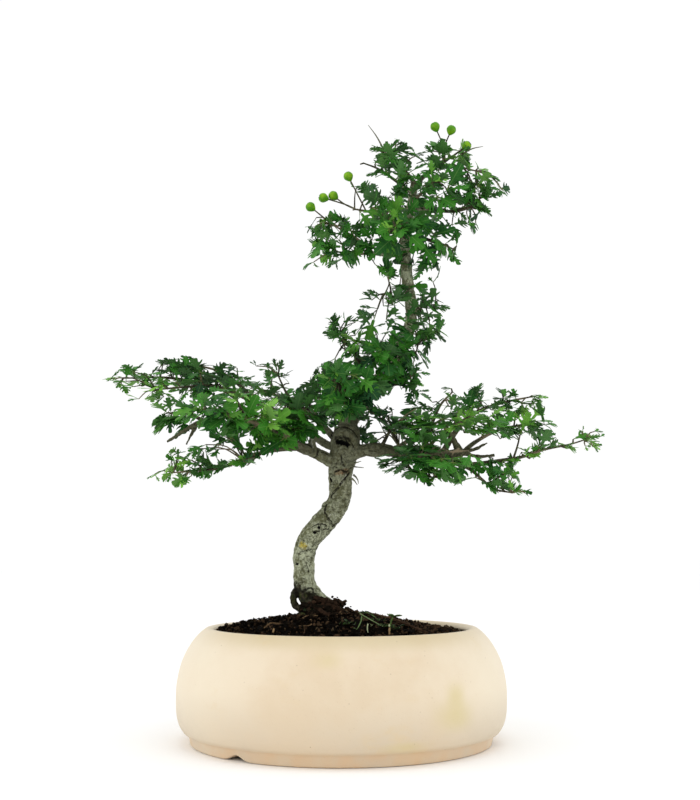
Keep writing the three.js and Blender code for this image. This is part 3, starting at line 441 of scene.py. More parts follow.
    "top_crest": (0.2, 1.8, [(57, 2, 427), (44, 6, 438), (30, 6, 448), (17, 2, 452)], [
        (35, -16, 442), (42, -26, 432, 15), (52, -20, 442, 15, 3), (29, 4, 445, 13, 3),
        (52, -22, 431, 15), (56, -22, 418, 15),
    ]),
    "top_wing_right": (0.1, 1.4, [(79, -2, 449), (92, -10, 445), (106, -14, 440)], [
        (119, -16, 439, 14, 3), (112, -20, 423, 14), (125, -10, 436, 10, 3), (131, -18, 422, 9, 3),
        (110, -8, 420, 14),
    ]),
    "top_fore_right": (0.2, 1.8, [(55, 3, 417), (62, -18, 420), (70, -34, 424)], [
        (84, -34, 429, 18), (89, -38, 417, 18), (78, -40, 408, 17), (70, -30, 423, 15),
    ]),
}
TUFT_LENGTH = 16
TUFT_LEAVES = 4
TWIG_TIP_RADIUS = 0.6
# The least radius of a branch whose bare foot is fused with the tree, and the spikes' radii
FUSED_RADIUS = 2.4
SPIKE_RADII = (0.9, 0.2)
# The grain of the bark's large and small lumps
BARK_GRAINS = (9, 2.6)

# Haws: the branch, the share along it where the stalk grows, and the middle of each fruit
HAWS = {
    "haws_top": ("top_right_high", 0.7, [(75, -2, 481), (88, -3, 478)]),
    "haw_top_right": ("top_right_high", 0.88, [(100, -5, 464)]),
    "haws_left": ("top_left_mid", 0.97, [(-15, -8, 420), (-7, -7, 422)]),
    "haw_left_high": ("top_left_mid", 0.8, [(5, -4, 439)]),
    "haw_far_left": ("top_left_wing", 0.97, [(-25, -10, 412)]),
}
HAW_RADIUS = 3.9
STALK_FORK = 0.4
STALK_RADII = (0.65, 0.5)
# A haw hangs a little low on its stalk, is longer than wide, narrower above, and has a dimple at its end
HAW_DROP = 0.45
HAW_STRETCH = 1.12
HAW_NARROWING = 0.32
DIMPLE_START = 0.8
DIMPLE_DEPTH = 1.6
# The dry sepals round the dimple: radii, length, their ring and its height in fruit radii, and their lean
SEPALS = 5
SEPAL_RADII = (0.75, 0.1)
SEPAL_LENGTH = 1.6
SEPAL_RING = 1.1
SEPAL_HEIGHT = 0.74
SEPAL_LEAN = 38

# The pads of foliage: middle, half sizes and how level their leaves lie
PADS = (
    ((-72, 0, 236), (80, 85, 42), 0.7), ((80, 0, 222), (85, 85, 42), 0.6),
    ((25, 0, 290), (45, 50, 40), 0.5), ((50, 0, 410), (60, 55, 55), 0.45),
    ((62, -45, 203), (45, 55, 18), 1),
)

# The foliage's outlines seen from the front, as x and z on the plane through the pot's axis
OUTLINES = {
    "left": [
        (-189, 276), (-181, 283), (-174, 289), (-157, 290), (-157, 281), (-145, 288), (-149, 293),
        (-143, 298), (-122, 295), (-100, 288), (-87, 290), (-80, 284), (-58, 279), (-45, 270), (-23, 278),
        (-17, 274), (-20, 267), (-9, 255), (-8, 231), (-24, 226), (-28, 220), (-58, 220), (-72, 230),
        (-79, 235), (-79, 221), (-89, 220), (-90, 231), (-104, 230), (-111, 238), (-126, 230),
        (-128, 222), (-133, 232), (-149, 234), (-149, 244), (-136, 250), (-151, 252), (-157, 260),
        (-151, 265), (-162, 266), (-164, 254), (-168, 259), (-179, 270),
    ],
    "shoot": [
        (-155, 200), (-137, 204), (-138, 217), (-132, 223), (-126, 220), (-115, 222), (-111, 228),
        (-107, 220), (-96, 234), (-91, 233), (-96, 216), (-84, 214), (-75, 220), (-70, 231), (-67, 221),
        (-51, 223), (-51, 217), (-70, 208), (-81, 206), (-93, 206), (-92, 200), (-116, 196), (-119, 188),
        (-140, 195), (-153, 195),
    ],
    "sprig": [
        (-73, 291), (-63, 292), (-55, 288), (-56, 293), (-42, 292), (-48, 283), (-35, 283), (-42, 275),
        (-40, 265), (-52, 262), (-70, 274), (-62, 280),
    ],
    "middle": [
        (-23, 283), (-16, 290), (-1, 294), (-4, 297), (2, 304), (-11, 308), (-20, 311), (-20, 316),
        (-13, 321), (-13, 328), (-7, 331), (1, 324), (-1, 333), (7, 328), (16, 336), (27, 335), (25, 323),
        (17, 320), (27, 313), (33, 315), (28, 320), (39, 331), (29, 330), (35, 338), (34, 344), (40, 352),
        (56, 358), (70, 362), (78, 341), (89, 329), (81, 329), (85, 304), (73, 306), (68, 301), (73, 291),
        (72, 276), (58, 283), (71, 267), (68, 257), (55, 269), (49, 264), (46, 270), (38, 270), (44, 261),
        (24, 259), (16, 256), (11, 248), (8, 241), (-3, 238), (-9, 235), (-16, 259), (-23, 272),
    ],
    "wisp": [
        (10, 240), (12, 250), (20, 250), (15, 259), (25, 258), (36, 251), (48, 247), (49, 238), (36, 240),
        (22, 237),
    ],
    "hanging": [(-128, 204), (-121, 223), (-108, 222), (-106, 209), (-113, 207), (-117, 204)],
    "bluish": [(-113, 202), (-105, 222), (-98, 225), (-97, 216), (-105, 203)],
    "leaflet": [(76, 399), (83, 402), (96, 396), (94, 389), (87, 387), (80, 393)],
    "below_limb": [(26, 219), (45, 216), (48, 208), (41, 203), (30, 203), (23, 210)],
    "beside_knob": [(12, 241), (22, 238), (22, 224), (15, 222), (11, 228)],
    "tuftlet": [(19, 231), (24, 236), (32, 232), (29, 221), (22, 224)],
    "fan": [(14, 340), (15, 347), (29, 348), (30, 339)],
    "right": [
        (27, 235), (33, 240), (49, 242), (35, 250), (33, 254), (49, 256), (49, 265), (61, 266), (62, 257),
        (75, 259), (74, 269), (79, 272), (91, 262), (101, 267), (96, 278), (112, 272), (113, 261),
        (124, 261), (120, 274), (134, 272), (141, 260), (152, 261), (148, 268), (163, 261), (159, 253),
        (168, 242), (169, 231), (159, 227), (146, 231), (136, 231), (130, 220), (126, 233), (108, 228),
        (97, 235), (86, 235), (84, 228), (55, 228), (45, 234),
    ],
    "under": [
        (34, 207), (44, 226), (74, 224), (77, 216), (106, 213), (139, 215), (144, 224), (161, 225),
        (158, 216), (136, 210), (143, 195), (135, 193), (148, 189), (156, 180), (123, 189), (121, 182),
        (113, 190), (100, 203), (94, 192), (73, 193), (59, 195), (48, 200), (37, 196), (39, 203),
    ],
    "end": [
        (161, 222), (165, 228), (175, 226), (188, 228), (183, 240), (188, 241), (195, 231), (199, 239),
        (208, 231), (205, 218), (200, 217), (194, 223), (192, 217), (170, 221),
    ],
    "crown": [
        (-37, 367), (-19, 371), (-30, 383), (-30, 402), (-18, 400), (-32, 411), (-16, 405), (-10, 412),
        (5, 407), (9, 399), (16, 409), (22, 411), (17, 417), (22, 421), (11, 427), (1, 437), (26, 436),
        (29, 429), (47, 432), (18, 441), (29, 450), (22, 454), (27, 459), (23, 463), (19, 469), (31, 468),
        (40, 473), (49, 474), (52, 467), (57, 466), (63, 463), (69, 473), (83, 473), (90, 466), (85, 455),
        (95, 462), (97, 474), (104, 469), (105, 456), (121, 448), (127, 439), (136, 432), (136, 425),
        (116, 420), (122, 407), (106, 410), (113, 398), (107, 391), (96, 402), (81, 400), (77, 388),
        (91, 382), (96, 365), (72, 377), (83, 362), (78, 357), (65, 362), (56, 356), (50, 370), (46, 357),
        (33, 353), (25, 363), (37, 370), (16, 373), (14, 366), (-16, 362), (-36, 365),
    ],
}

# Painted light and shade on the foliage seen from the front: x and z, reach, and how much lighter, less
# than 0 for painted shade
LIGHTS = (
    (-135, 262, 18, 0.3), (-66, 258, 24, 0.32), (-52, 238, 14, 0.2), (-136, 212, 14, 0.4),
    (-165, 270, 16, 0.35), (-155, 258, 12, 0.45), (-128, 194, 10, 0.4), (-100, 250, 22, -0.12),
    (-40, 262, 18, -0.15), (-110, 282, 24, -0.05), (-95, 240, 14, -0.25), (145, 250, 12, 0.4),
    (95, 250, 20, 0.15), (60, 240, 14, 0.12), (50, 216, 26, -0.15), (150, 215, 14, 0.25),
    (190, 225, 16, 0.3), (10, 310, 10, 0.4), (20, 290, 20, -0.1), (45, 300, 20, -0.12),
    (70, 320, 16, 0.05), (-28, 382, 16, 0.12), (-20, 358, 12, 0.3), (30, 248, 18, -0.4),
    (92, 463, 10, 0.5), (115, 440, 18, 0.12), (60, 380, 20, -0.12), (45, 425, 24, 0.05),
    (120, 240, 36, 0.1), (70, 430, 30, 0.06), (170, 225, 24, 0.1),
)

# Leaf shapes, as half a leaf of length 1: the width of the body at stations along the midrib,
# then each lobe as the pair of stations it grows from and its steps (forward, outward, narrowing)
LEAF_SHAPES = {
    "three": {
        "body": [
            (0, 0.025), (0.3, 0.08), (0.57, 0.18), (0.65, 0.15), (0.87, 0.19), (0.96, 0.17), (1, 0.09),
        ],
        "lobes": [(1, [(0.12, 0.12, 0.9), (0.08, 0.08, 0.85), (0.03, 0.03, 0.6)])],
    },
    "five": {
        "body": [
            (0, 0.025), (0.27, 0.07), (0.5, 0.18), (0.57, 0.14), (0.75, 0.16), (0.8, 0.14),
            (0.94, 0.16), (1, 0.08),
        ],
        "lobes": [
            (1, [(0.07, 0.14, 0.9), (0.09, 0.1, 0.85), (0.03, 0.03, 0.6)]),
            (3, [(0.09, 0.1, 0.9), (0.06, 0.06, 0.7)]),
        ],
    },
    "seven": {
        "body": [
            (0, 0.025), (0.21, 0.055), (0.4, 0.15), (0.46, 0.12), (0.62, 0.15), (0.67, 0.12),
            (0.82, 0.14), (0.94, 0.13), (1, 0.06),
        ],
        "lobes": [
            (1, [(0.03, 0.14, 0.95), (0.07, 0.11, 0.85)]),
            (3, [(0.07, 0.12, 0.92), (0.08, 0.08, 0.8)]),
            (5, [(0.08, 0.07, 0.9), (0.06, 0.05, 0.75)]),
        ],
    },
    "tip": {
        "body": [(0, 0.03), (0.32, 0.08), (0.55, 0.15), (0.64, 0.12), (0.88, 0.15), (1, 0.1)],
        "lobes": [(1, [(0.15, 0.12, 0.9), (0.12, 0.08, 0.85)])],
    },
}
# The bends that each leaf shape comes in: how far it arches along and folds across
LEAF_BENDS = ((0.12, 0.1), (0.25, 0.16), (0.04, 0.24))
# Of a leaf of length 1: its thickness, its stalk, the stalk's overlap with the blade, its lobes' reach
LEAF_THICKNESS = 0.018
PETIOLE = 0.26
PETIOLE_OVERLAP = 0.03
LOBES_ALONG = 0.6
LOBES_ACROSS = 0.3
# How often a leaf tries a new turn where it would leave the foliage, and its gap to the frame's box
MOST_TRIES = 9
BOX_GAP = 0.3
# First and last radius of side twigs, spurs, the tufts' twigs and thorns, and the length of thorns
SIDE_TWIG_RADII = (0.9, 0.5)
SPUR_RADII = (0.75, 0.6)
TUFT_TWIG_RADII = (0.65, 0.4)
THORN_RADII = (0.6, 0.08)
THORN_LENGTHS = (7, 11)
# Leaves shorter than the first length have the tip shape, and those shorter than the second have few lobes
SMALL_LEAF = 9
MIDDLING_LEAF = 15
# The grid that finds bare spots in the foliage, how far a twig reaches to fill one and its leaves' lengths
CELL = 5
FILL_REACH = 34
FILL_LENGTHS = (11, 16)


def tone(name, description, default):
    """A colour that a user can change"""
    return FloatVectorProperty(name=name, description=description, subtype="COLOR", default=default)


def distance(name, description, millimetres):
    """A length that a user can change"""
    return FloatProperty(
        name=name, description=description, subtype="DISTANCE", unit="LENGTH", default=millimetres * MM)


class BonsaiPotSettings(bpy.types.PropertyGroup):
    """Sizes and colours of the pot"""

    segments: IntProperty(name="Segments", description="Faces round the pot", default=192, min=48)
    clay: tone("Clay", "Colour of the stoneware", (0.74, 0.6, 0.42))
    pale: tone("Pale clay", "Lighter cloudy patches", (0.79, 0.67, 0.5))
    stain: tone("Stain", "Ochre stains in the clay", (0.72, 0.54, 0.27))
    roughness: FloatProperty(
        name="Roughness", description="Roughness of the clay between its grains", default=0.5, min=0, max=1)


class BonsaiSoilSettings(bpy.types.PropertyGroup):
    """The soil and what grows in it"""

    seed: IntProperty(name="Seed", description="Scatter of the crumbs, roots and moss", default=11)
    crumbs: IntProperty(name="Crumbs", description="Number of soil crumbs", default=3200, min=0)
    crumb_size: distance("Crumb size", "Radius of a middling crumb", 1.3)
    dark: tone("Dark soil", "Damp peat", (0.002, 0.0014, 0.0008))
    brown: tone("Brown soil", "Browner crumbs", (0.06, 0.036, 0.02))
    dry: tone("Dry soil", "Dry crumbs and fibres", (0.1, 0.078, 0.045))


class BonsaiTreeSettings(bpy.types.PropertyGroup):
    """The trunk, the limbs and their bark"""

    voxel: distance("Voxel", "Grid that fuses the limbs", 0.72)
    relief: distance("Relief", "Depth of the bark's lumps", 1.1)
    pale: tone("Pale bark", "Weathered bark of the trunk", (0.51, 0.54, 0.37))
    olive: tone("Olive bark", "Greener bark of the trunk", (0.15, 0.155, 0.08))
    brown: tone("Brown bark", "Bark of the limbs", (0.105, 0.104, 0.058))
    dark: tone("Dark bark", "Cracks, scars and twigs", (0.022, 0.018, 0.014))


class BonsaiFoliageSettings(bpy.types.PropertyGroup):
    """Twigs and leaves"""

    seed: IntProperty(name="Seed", description="Draws of the leaves' turns and sizes", default=4)
    spacing: distance("Spur spacing", "Distance between spurs along a twig", 10)
    leaf: distance("Leaf length", "Blade of a full leaf", 17)
    fill: FloatProperty(
        name="Fill", description="Share of the bare spots that are filled", default=0.75, min=0, max=1)
    tuft_size: FloatProperty(
        name="Tuft size", description="Leaves of the tufts against their listed length", default=1, min=0.1)
    deep: tone("Deep green", "Shaded leaves", (0.0075, 0.046, 0.0155))
    green: tone("Green", "Most leaves", (0.033, 0.17, 0.0135))
    young: tone("Young green", "Young leaves and those in the light", (0.215, 0.49, 0.062))


class BonsaiHawSettings(bpy.types.PropertyGroup):
    """The haws"""

    skin: tone("Skin", "Colour of an unripe haw", (0.07, 0.25, 0.006))
    blush: tone("Blush", "Yellower side of a haw", (0.2, 0.4, 0.01))


class BonsaiStageSettings(bpy.types.PropertyGroup):
    """Camera, floor and lights"""

    lens: FloatProperty(name="Lens", description="Focal length in millimetres", default=52.07)
    eye: FloatVectorProperty(
        name="Eye", description="Camera from the pot's axis", subtype="TRANSLATION", unit="LENGTH",
        default=[MM * part for part in EYE])
    tilt: FloatProperty(
        name="Tilt", description="How far the camera looks up", subtype="ANGLE", unit="ROTATION",
        default=math.radians(7.22))
    surround: FloatProperty(
        name="Surround", description="Strength of the white surround", default=1.02, min=0)


def at(x, y, z):
    """A place in the part's frame, in metres, from millimetres measured from the pot's axis"""
    return Vector((POT_MIDDLE.x + x * MM, POT_MIDDLE.y + y * MM, z * MM))


def mix(a, b, share):
    """Between a and b, by a share from 0 to 1"""
    return a + (b - a) * share


def step(low, high, value):
    """0 below low, 1 above high, smooth between"""
    share = min(1, max(0, (value - low) / (high - low)))
    return share * share * (3 - 2 * share)


class Path:
    """A smooth path through points in millimetres, read by the share of its length"""

    def __init__(self, points, pieces=24):
        knots = [Vector(point[:3]) for point in points]
        knots = [2 * knots[0] - knots[1], *knots, 2 * knots[-1] - knots[-2]]
        self.places = []
        for i in range(1, len(knots) - 2):
            self.places += [self.between(knots[i - 1:i + 3], j / pieces) for j in range(pieces)]
        self.places.append(knots[-2])
        self.reached = [0]
        for a, b in zip(self.places, self.places[1:]):
            self.reached.append(self.reached[-1] + (b - a).length)
        self.length = self.reached[-1]
        chord = (self.places[-1] - self.places[0]).normalized()
        axes = (Vector((1, 0, 0)), Vector((0, 1, 0)), UP)
        self.across = min(axes, key=lambda axis: abs(axis.dot(chord)))

    @staticmethod
    def between(knots, t):
        """A place on the curve from the second of four knots to the third"""
        a, b, c, d = knots
        return 0.5 * (2 * b + (c - a) * t + (2 * a - 5 * b + 4 * c - d) * t ** 2
                      + (3 * b - a - 3 * c + d) * t ** 3)

    def place(self, share):
        """The place at a share of the path's length"""
        goal = min(1, max(0, share)) * self.length
        i = next(i for i, reached in enumerate(self.reached) if reached >= goal)
        if i == 0:
            return self.places[0].copy()
        step_length = self.reached[i] - self.reached[i - 1]
        return self.places[i - 1].lerp(self.places[i], (goal - self.reached[i - 1]) / step_length)

    def frame(self, share):
        """Place, direction along the path, and two directions across it"""
        ahead, behind = self.place(share + 0.01), self.place(share - 0.01)
        along = (ahead - behind).normalized()
        side = along.cross(self.across).normalized()
        return self.place(share), along, side, side.cross(along)


def activate(*pieces):
    """Selects pieces and nothing else, with the first one active"""
    bpy.ops.object.select_all(action="DESELECT")
    for piece in pieces:
        piece.select_set(True)
    bpy.context.view_layer.objects.active = pieces[0]


def remove(*shapes):
    """Takes shapes away, once they have been copied"""
    for shape in shapes:
        bpy.data.objects.remove(shape)


class Editing:
    """Edit mode on one piece, with what is selected chosen by its place"""

    def __init__(self, piece):
        self.piece = piece

    def __enter__(self):
        activate(self.piece)
        bpy.ops.object.mode_set(mode="EDIT")
        bpy.ops.mesh.select_all(action="DESELECT")
        return self

    def __exit__(self, *problem):
        bpy.ops.object.mode_set(mode="OBJECT")

    def pick(self, kind, where):
        """Selects the vertices, edges or faces whose middle suits, and nothing else"""
        bpy.ops.mesh.select_mode(type={"verts": "VERT", "edges": "EDGE", "faces": "FACE"}[kind])
        bpy.ops.mesh.select_all(action="DESELECT")
        mesh = bmesh.from_edit_mesh(self.piece.data)
        for item in getattr(mesh, kind):
            corners = [item.co] if kind == "verts" else [vertex.co for vertex in item.verts]
            if where(sum(corners, Vector()) / len(corners)):
                item.select_set(True)
        mesh.select_flush_mode()
        bmesh.update_edit_mesh(self.piece.data)

    def nearest(self, kind, place):
        """Selects the one item whose middle is nearest to a place"""
        mesh = bmesh.from_edit_mesh(self.piece.data)

        def gap(item):
            return (sum((vertex.co for vertex in item.verts), Vector()) / len(item.verts) - place).length

        goal = min(gap(item) for item in getattr(mesh, kind)) + 1e-6
        self.pick(kind, lambda middle: (middle - place).length <= goal)

    @staticmethod
    def extrude(move, scale=1):
        """Draws the selected edges out by a move, and then scales them about their middle"""
        bpy.ops.mesh.extrude_edges_move(TRANSFORM_OT_translate={"value": move})
        if scale != 1:
            bpy.ops.transform.resize(value=(scale, scale, scale))

    @staticmethod
    def face_outwards():
        """Turns every face's normal outwards"""
        bpy.ops.mesh.select_all(action="SELECT")
        bpy.ops.mesh.normals_make_consistent(inside=False)


def modify(piece, kind, **settings):
    """Adds a modifier, sets it and applies it"""
    activate(piece)
    modifier = piece.modifiers.new(kind.lower(), kind)
    for name, value in settings.items():
        setattr(modifier, name, value)
    bpy.ops.object.modifier_apply(modifier=modifier.name)


def displace(piece, grain, strength, **settings):
    """Moves a surface in and out by cloudy noise of a given grain"""
    texture = bpy.data.textures.new("relief", "CLOUDS")
    texture.noise_scale = grain
    modify(piece, "DISPLACE", texture=texture, strength=strength, mid_level=0.5, texture_coords="LOCAL",
           **settings)


def join(first, *others):
    """Makes pieces one, under the first one's name"""
    if others:
        activate(first, *others)
        bpy.ops.object.join()
    return first


def named(piece, name):
    """Names a piece and its mesh"""
    piece.name = name
    piece.data.name = name
    return piece


def smooth(piece, degrees):
    """Shades a piece smooth, but for edges sharper than an angle"""
    activate(piece)
    bpy.ops.object.shade_smooth_by_angle(angle=math.radians(degrees))


def settle(piece):
    """Puts an object's place into its mesh, so that the object sits at the origin"""
    activate(piece)
    bpy.ops.object.transform_apply(location=True, rotation=True, scale=True)
    return piece


def finished(piece, name, slot, *nodes):
    """Names a piece, gives it its body and hides the frame's nodes that it stands for. Its slot is not
    used.
    """
    named(piece, name)
    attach(piece, "root")
    if nodes:
        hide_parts(*nodes)
    return piece


def near_axis(radius):
    """A test for places less than a radius in millimetres from the pot's axis"""
    return lambda place: (place.xy - POT_MIDDLE.xy).length < radius * MM


def turned(name, profile, segments):
    """A wall turned about the pot's axis, drawn out ring by ring from points of radius and height"""
    radius, height = profile[0]
    bpy.ops.mesh.primitive_circle_add(vertices=segments, radius=radius * MM, location=at(0, 0, height))
    piece = named(settle(bpy.context.object), name)
    with Editing(piece) as edit:
        edit.pick("edges", lambda middle: True)
        for next_radius, next_height in profile[1:]:
            edit.extrude((0, 0, (next_height - height) * MM))
            factor = next_radius / radius
            bpy.ops.transform.resize(value=(factor, factor, 1), center_override=at(0, 0, next_height))
            radius, height = next_radius, next_height
    return piece


def rounded(points, gap):
    """Points of radius and height along a smooth curve through the given ones, about a gap apart"""
    path = Path([(radius, 0, height) for radius, height in points])
    count = max(1, round(path.length / gap))
    return [(place.x, place.z) for place in (path.place(i / count) for i in range(count + 1))]


def tubes(name, strands, roundness):
    """Round rods along strands of places and radii in metres, as one closed mesh"""
    curve = bpy.data.curves.new(name, "CURVE")
    curve.dimensions = "3D"
    curve.bevel_depth = 1
    curve.bevel_resolution = roundness
    curve.use_fill_caps = True
    for strand in strands:
        spline = curve.splines.new("POLY")
        spline.points.add(len(strand) - 1)
        for point, (place, radius) in zip(spline.points, strand):
            point.co = (*place, 1)
            point.radius = radius
    piece = bpy.data.objects.new(name, curve)
    bpy.context.collection.objects.link(piece)
    activate(piece)
    bpy.ops.object.convert(target="MESH")
    return piece


def strand(path, radius_at, start=0, end=1, gap=3):
    """Places and radii along a stretch of a path, about a gap of millimetres apart"""
    count = max(2, round(path.length * (end - start) / gap))
    shares = [mix(start, end, i / count) for i in range(count + 1)]
    return [(at(*path.place(share)), radius_at(share) * MM) for share in shares]


def rod(points, first, last, start=0, end=1, gap=3, pieces=24):
    """A strand through points in millimetres whose radius goes evenly from a first one to a last one"""
    return strand(Path(points, pieces), lambda share: mix(first, last, share), start, end, gap)


def radius_of(rows):
    """The radius along a path whose points carry it as their fourth number"""
    def radius(share):
        place = share * (len(rows) - 1)
        row = min(int(place), len(rows) - 2)
        return mix(rows[row][3], rows[row + 1][3], place - row)
    return radius


class Value:
    """A shader socket that takes part in Python expressions"""

    def __init__(self, finish, socket):
        self.finish = finish
        self.socket = socket

    def math(self, operation, *inputs):
        """A Math node with the given operation and inputs"""
        return self.finish.node("ShaderNodeMath", {"operation": operation}, dict(enumerate(inputs)))

    def __add__(self, other):
        return self.math("ADD", self, other)

    def __sub__(self, other):
        return self.math("SUBTRACT", self, other)

    def __rsub__(self, other):
        return self.math("SUBTRACT", other, self)

    def __mul__(self, other):
        return self.math("MULTIPLY", self, other)

    __radd__ = __add__
    __rmul__ = __mul__

    def __abs__(self):
        return self.math("ABSOLUTE", self)

    def maximum(self, other):
        return self.math("MAXIMUM", self, other)

    def step(self, low, high):
        """0 below low, 1 above high, smooth between"""
        sockets = {"Value": self, "From Min": low, "From Max": high}
        return self.finish.node("ShaderNodeMapRange", {"interpolation_type": "SMOOTHSTEP"}, sockets)


# The sockets of a Mix node that mixes colours, by their numbers, because their names aren't their own
MIX_SHARE = 0
MIX_FIRST = 6
MIX_SECOND = 7
MIX_COLOUR = 2


class Finish:
    """A procedural material with one main shader, whose constants are set on its own sockets"""

    def __init__(self, name, roughness, shine=0.4, colour=(0.5, 0.5, 0.5)):
        self.material = bpy.data.materials.new(name)
        self.material.use_nodes = True
        self.nodes = self.material.node_tree.nodes
        self.shader = next(node for node in self.nodes if node.type == "BSDF_PRINCIPLED")
        self.shader.inputs["Roughness"].default_value = roughness
        self.shader.inputs["Specular IOR Level"].default_value = shine
        self.shader.inputs["Base Color"].default_value = (*colour, 1)

    def set(self, socket, value):
        """Links a socket to a value, or sets it to a number, a vector or a colour"""
        if isinstance(value, Value):
            self.material.node_tree.links.new(value.socket, socket)
        elif hasattr(value, "__len__") and len(socket.default_value) > len(value):
            socket.default_value = (*value, 1)
        else:
            socket.default_value = value

    def node(self, kind, settings, sockets, output=0):
        """A node of a kind, by its settings and then the values or links of its sockets"""
        node = self.nodes.new(kind)
        for name, value in settings.items():
            setattr(node, name, value)
        for name, value in sockets.items():
            self.set(node.inputs[name], value)
        return Value(self, node.outputs[output])

    def place(self):
        """The place on the object, in its own coordinates"""
        return self.node("ShaderNodeTexCoord", {}, {}, "Object")

    def split(self, vector):
        """A vector's three parts"""
        return [self.node("ShaderNodeSeparateXYZ", {}, {"Vector": vector}, axis) for axis in "XYZ"]

    def attribute(self, name, output="Fac"):
        """What the mesh stores under a name"""
        return self.node("ShaderNodeAttribute", {"attribute_name": name}, {}, output)

    def noise(self, vector, scale, detail=4, roughness=0.55):
        """Cloudy noise, about 0.5 on average"""
        sockets = {"Vector": vector, "Scale": scale, "Detail": detail, "Roughness": roughness}
        return self.node("ShaderNodeTexNoise", {}, sockets, "Fac")

    def cells(self, vector, scale):
        """The distance from the nearest of many scattered points"""
        return self.node("ShaderNodeTexVoronoi", {}, {"Vector": vector, "Scale": scale}, "Distance")

    def stretched(self, vector, scale):
        """A vector with each part scaled on its own"""
        return self.node("ShaderNodeMapping", {}, {"Vector": vector, "Scale": scale})

    def blend(self, first, second, share):
        """A colour between two, by a share from 0 to 1"""
        sockets = {MIX_SHARE: share, MIX_FIRST: first, MIX_SECOND: second}
        return self.node("ShaderNodeMix", {"data_type": "RGBA"}, sockets, MIX_COLOUR)

    def colour(self, shown, *coats):
        """Sets the colour: a first one, and over it coats of a colour and the share that it covers"""
        for colour, share in coats:
            shown = self.blend(shown, colour, share)
        self.set(self.shader.inputs["Base Color"], shown)

    def roughness(self, value):
        """Sets how rough the finish is"""
        self.set(self.shader.inputs["Roughness"], value)

    def bump(self, height, strength, distance):
        """Bends the light as if the surface rose by a height, over a distance in metres"""
        sockets = {"Height": height, "Strength": strength, "Distance": distance}
        self.set(self.shader.inputs["Normal"], self.node("ShaderNodeBump", {}, sockets))

    def give(self, piece):
        """Adds the finish to a piece as its next material"""
        piece.data.materials.append(self.material)


def stoneware(settings):
    """Cream clay with clouds, stains, smudges and dark specks, painted light on the sides, painted shade
    towards the bottom, and a browner rim and foot
    """
    finish = Finish("stoneware", roughness=settings.roughness, shine=0.55)
    place = finish.place()
    across, depth, height = finish.split(place)
    clouds = finish.noise(place, 16, 5, 0.6).step(0.35, 0.68)
    # Painted light: the clay is made paler towards the pot's left and right sides
    painted_side_light = abs(across - POT_MIDDLE.x).step(0.05, 0.12)
    # Painted shade: the clay is darkened towards the bottom of the pot
    low = 1 - height.step(0.012, 0.05)
    rim = height.step(0.072, 0.082) * (1 - painted_side_light)
    stains = finish.noise(finish.stretched(place, (1, 1, 1.6)), 24, 6, 0.7).step(0.54, 0.8)
    front = 1 - depth.step(-0.07, -0.05)
    smudges = []
    for x, z, wide, tall in SMUDGES:
        aside = 1 - abs(across - at(x, 0, 0).x).step(0, wide * MM)
        above = 1 - abs(height - z * MM).step(0, tall * MM)
        smudges.append(((0.66, 0.55, 0.26), front * aside * above * (0.4 + 0.6 * clouds) * 0.8))
    foot = 1 - height.step(0.007, 0.0115)
    smear = finish.noise(place, 60, 3, 0.5).step(0.3, 0.75)
    specks = 1 - finish.cells(place, 260).step(0.05, 0.16)
    sparse = finish.noise(place, 90, 2, 0.5).step(0.55, 0.72)
    finish.colour(
        settings.clay,
        (settings.pale, clouds),
        # Painted light, paler clay towards the sides
        ((0.86, 0.78, 0.62), painted_side_light * 0.6),
        # Painted shade towards the bottom
        ((0.55, 0.45, 0.33), low * (0.25 + 0.3 * clouds)),
        ((0.6, 0.49, 0.26), rim * 0.5),
        (settings.stain, stains * 0.42),
        *smudges,
        ((0.75, 0.48, 0.25), foot * (0.1 + 0.4 * smear)),
        ((0.3, 0.19, 0.1), specks * sparse * 0.55),
    )
    grain = finish.noise(place, 900, 4, 0.65)
    pits = 1 - finish.cells(place, 320).step(0, 0.3)
    finish.bump(grain * 0.5 - pits * 0.6 + finish.noise(place, 60, 3, 0.5) * 1.5, 0.35, 0.0004)
    finish.roughness(settings.roughness + 0.16 * grain)
    return finish


def foot_notches(pot):
    """Lifts the foot's underside into three soft arches"""
    for vertex in pot.data.vertices:
        height = vertex.co.z / MM
        x, y = (vertex.co.x - POT_MIDDLE.x) / MM, (vertex.co.y - POT_MIDDLE.y) / MM
        radius = math.hypot(x, y)
        if height >= FOOT_BAND or radius < NOTCH_START:
            continue
        for angle in NOTCH_ANGLES:
            off = (math.degrees(math.atan2(y, x)) - angle + 180) % 360 - 180
            across = math.radians(off) * radius / NOTCH_HALF_WIDTH
            lift = NOTCH_HEIGHT * math.exp(-across ** 2)
            height += lift * (1 - height / FOOT_BAND)
        vertex.co.z = height * MM


class BONSAI_OT_pot(bpy.types.Operator):
    """Turns the stoneware pot, with its drain hole and the three notches in its foot"""

    bl_idname = "bonsai.pot"
    bl_label = "Pot"

    def execute(self, context):
        settings = context.scene.bonsai_pot
        profile = [(DRAIN_RADIUS, FOOT_RECESS), *FOOT_UNDERSIDE, *FOOT_OUTSIDE[:-1]]
        profile += rounded(BELLY, 3)[:-1] + rounded(LIP, 1)[:-1] + rounded(POT_INSIDE, 4)
        profile.append((DRAIN_RADIUS, DRAIN_TOP))
        pot = turned("pot", profile, settings.segments)
        with Editing(pot) as edit:
            edit.pick("edges", near_axis(DRAIN_RADIUS + 0.5))
            bpy.ops.mesh.bridge_edge_loops()
            edit.face_outwards()
        foot_notches(pot)
        stoneware(settings).give(pot)
        smooth(pot, 40)
        finished(pot, "stoneware_pot", "stoneware", "pot")
        return {"FINISHED"}


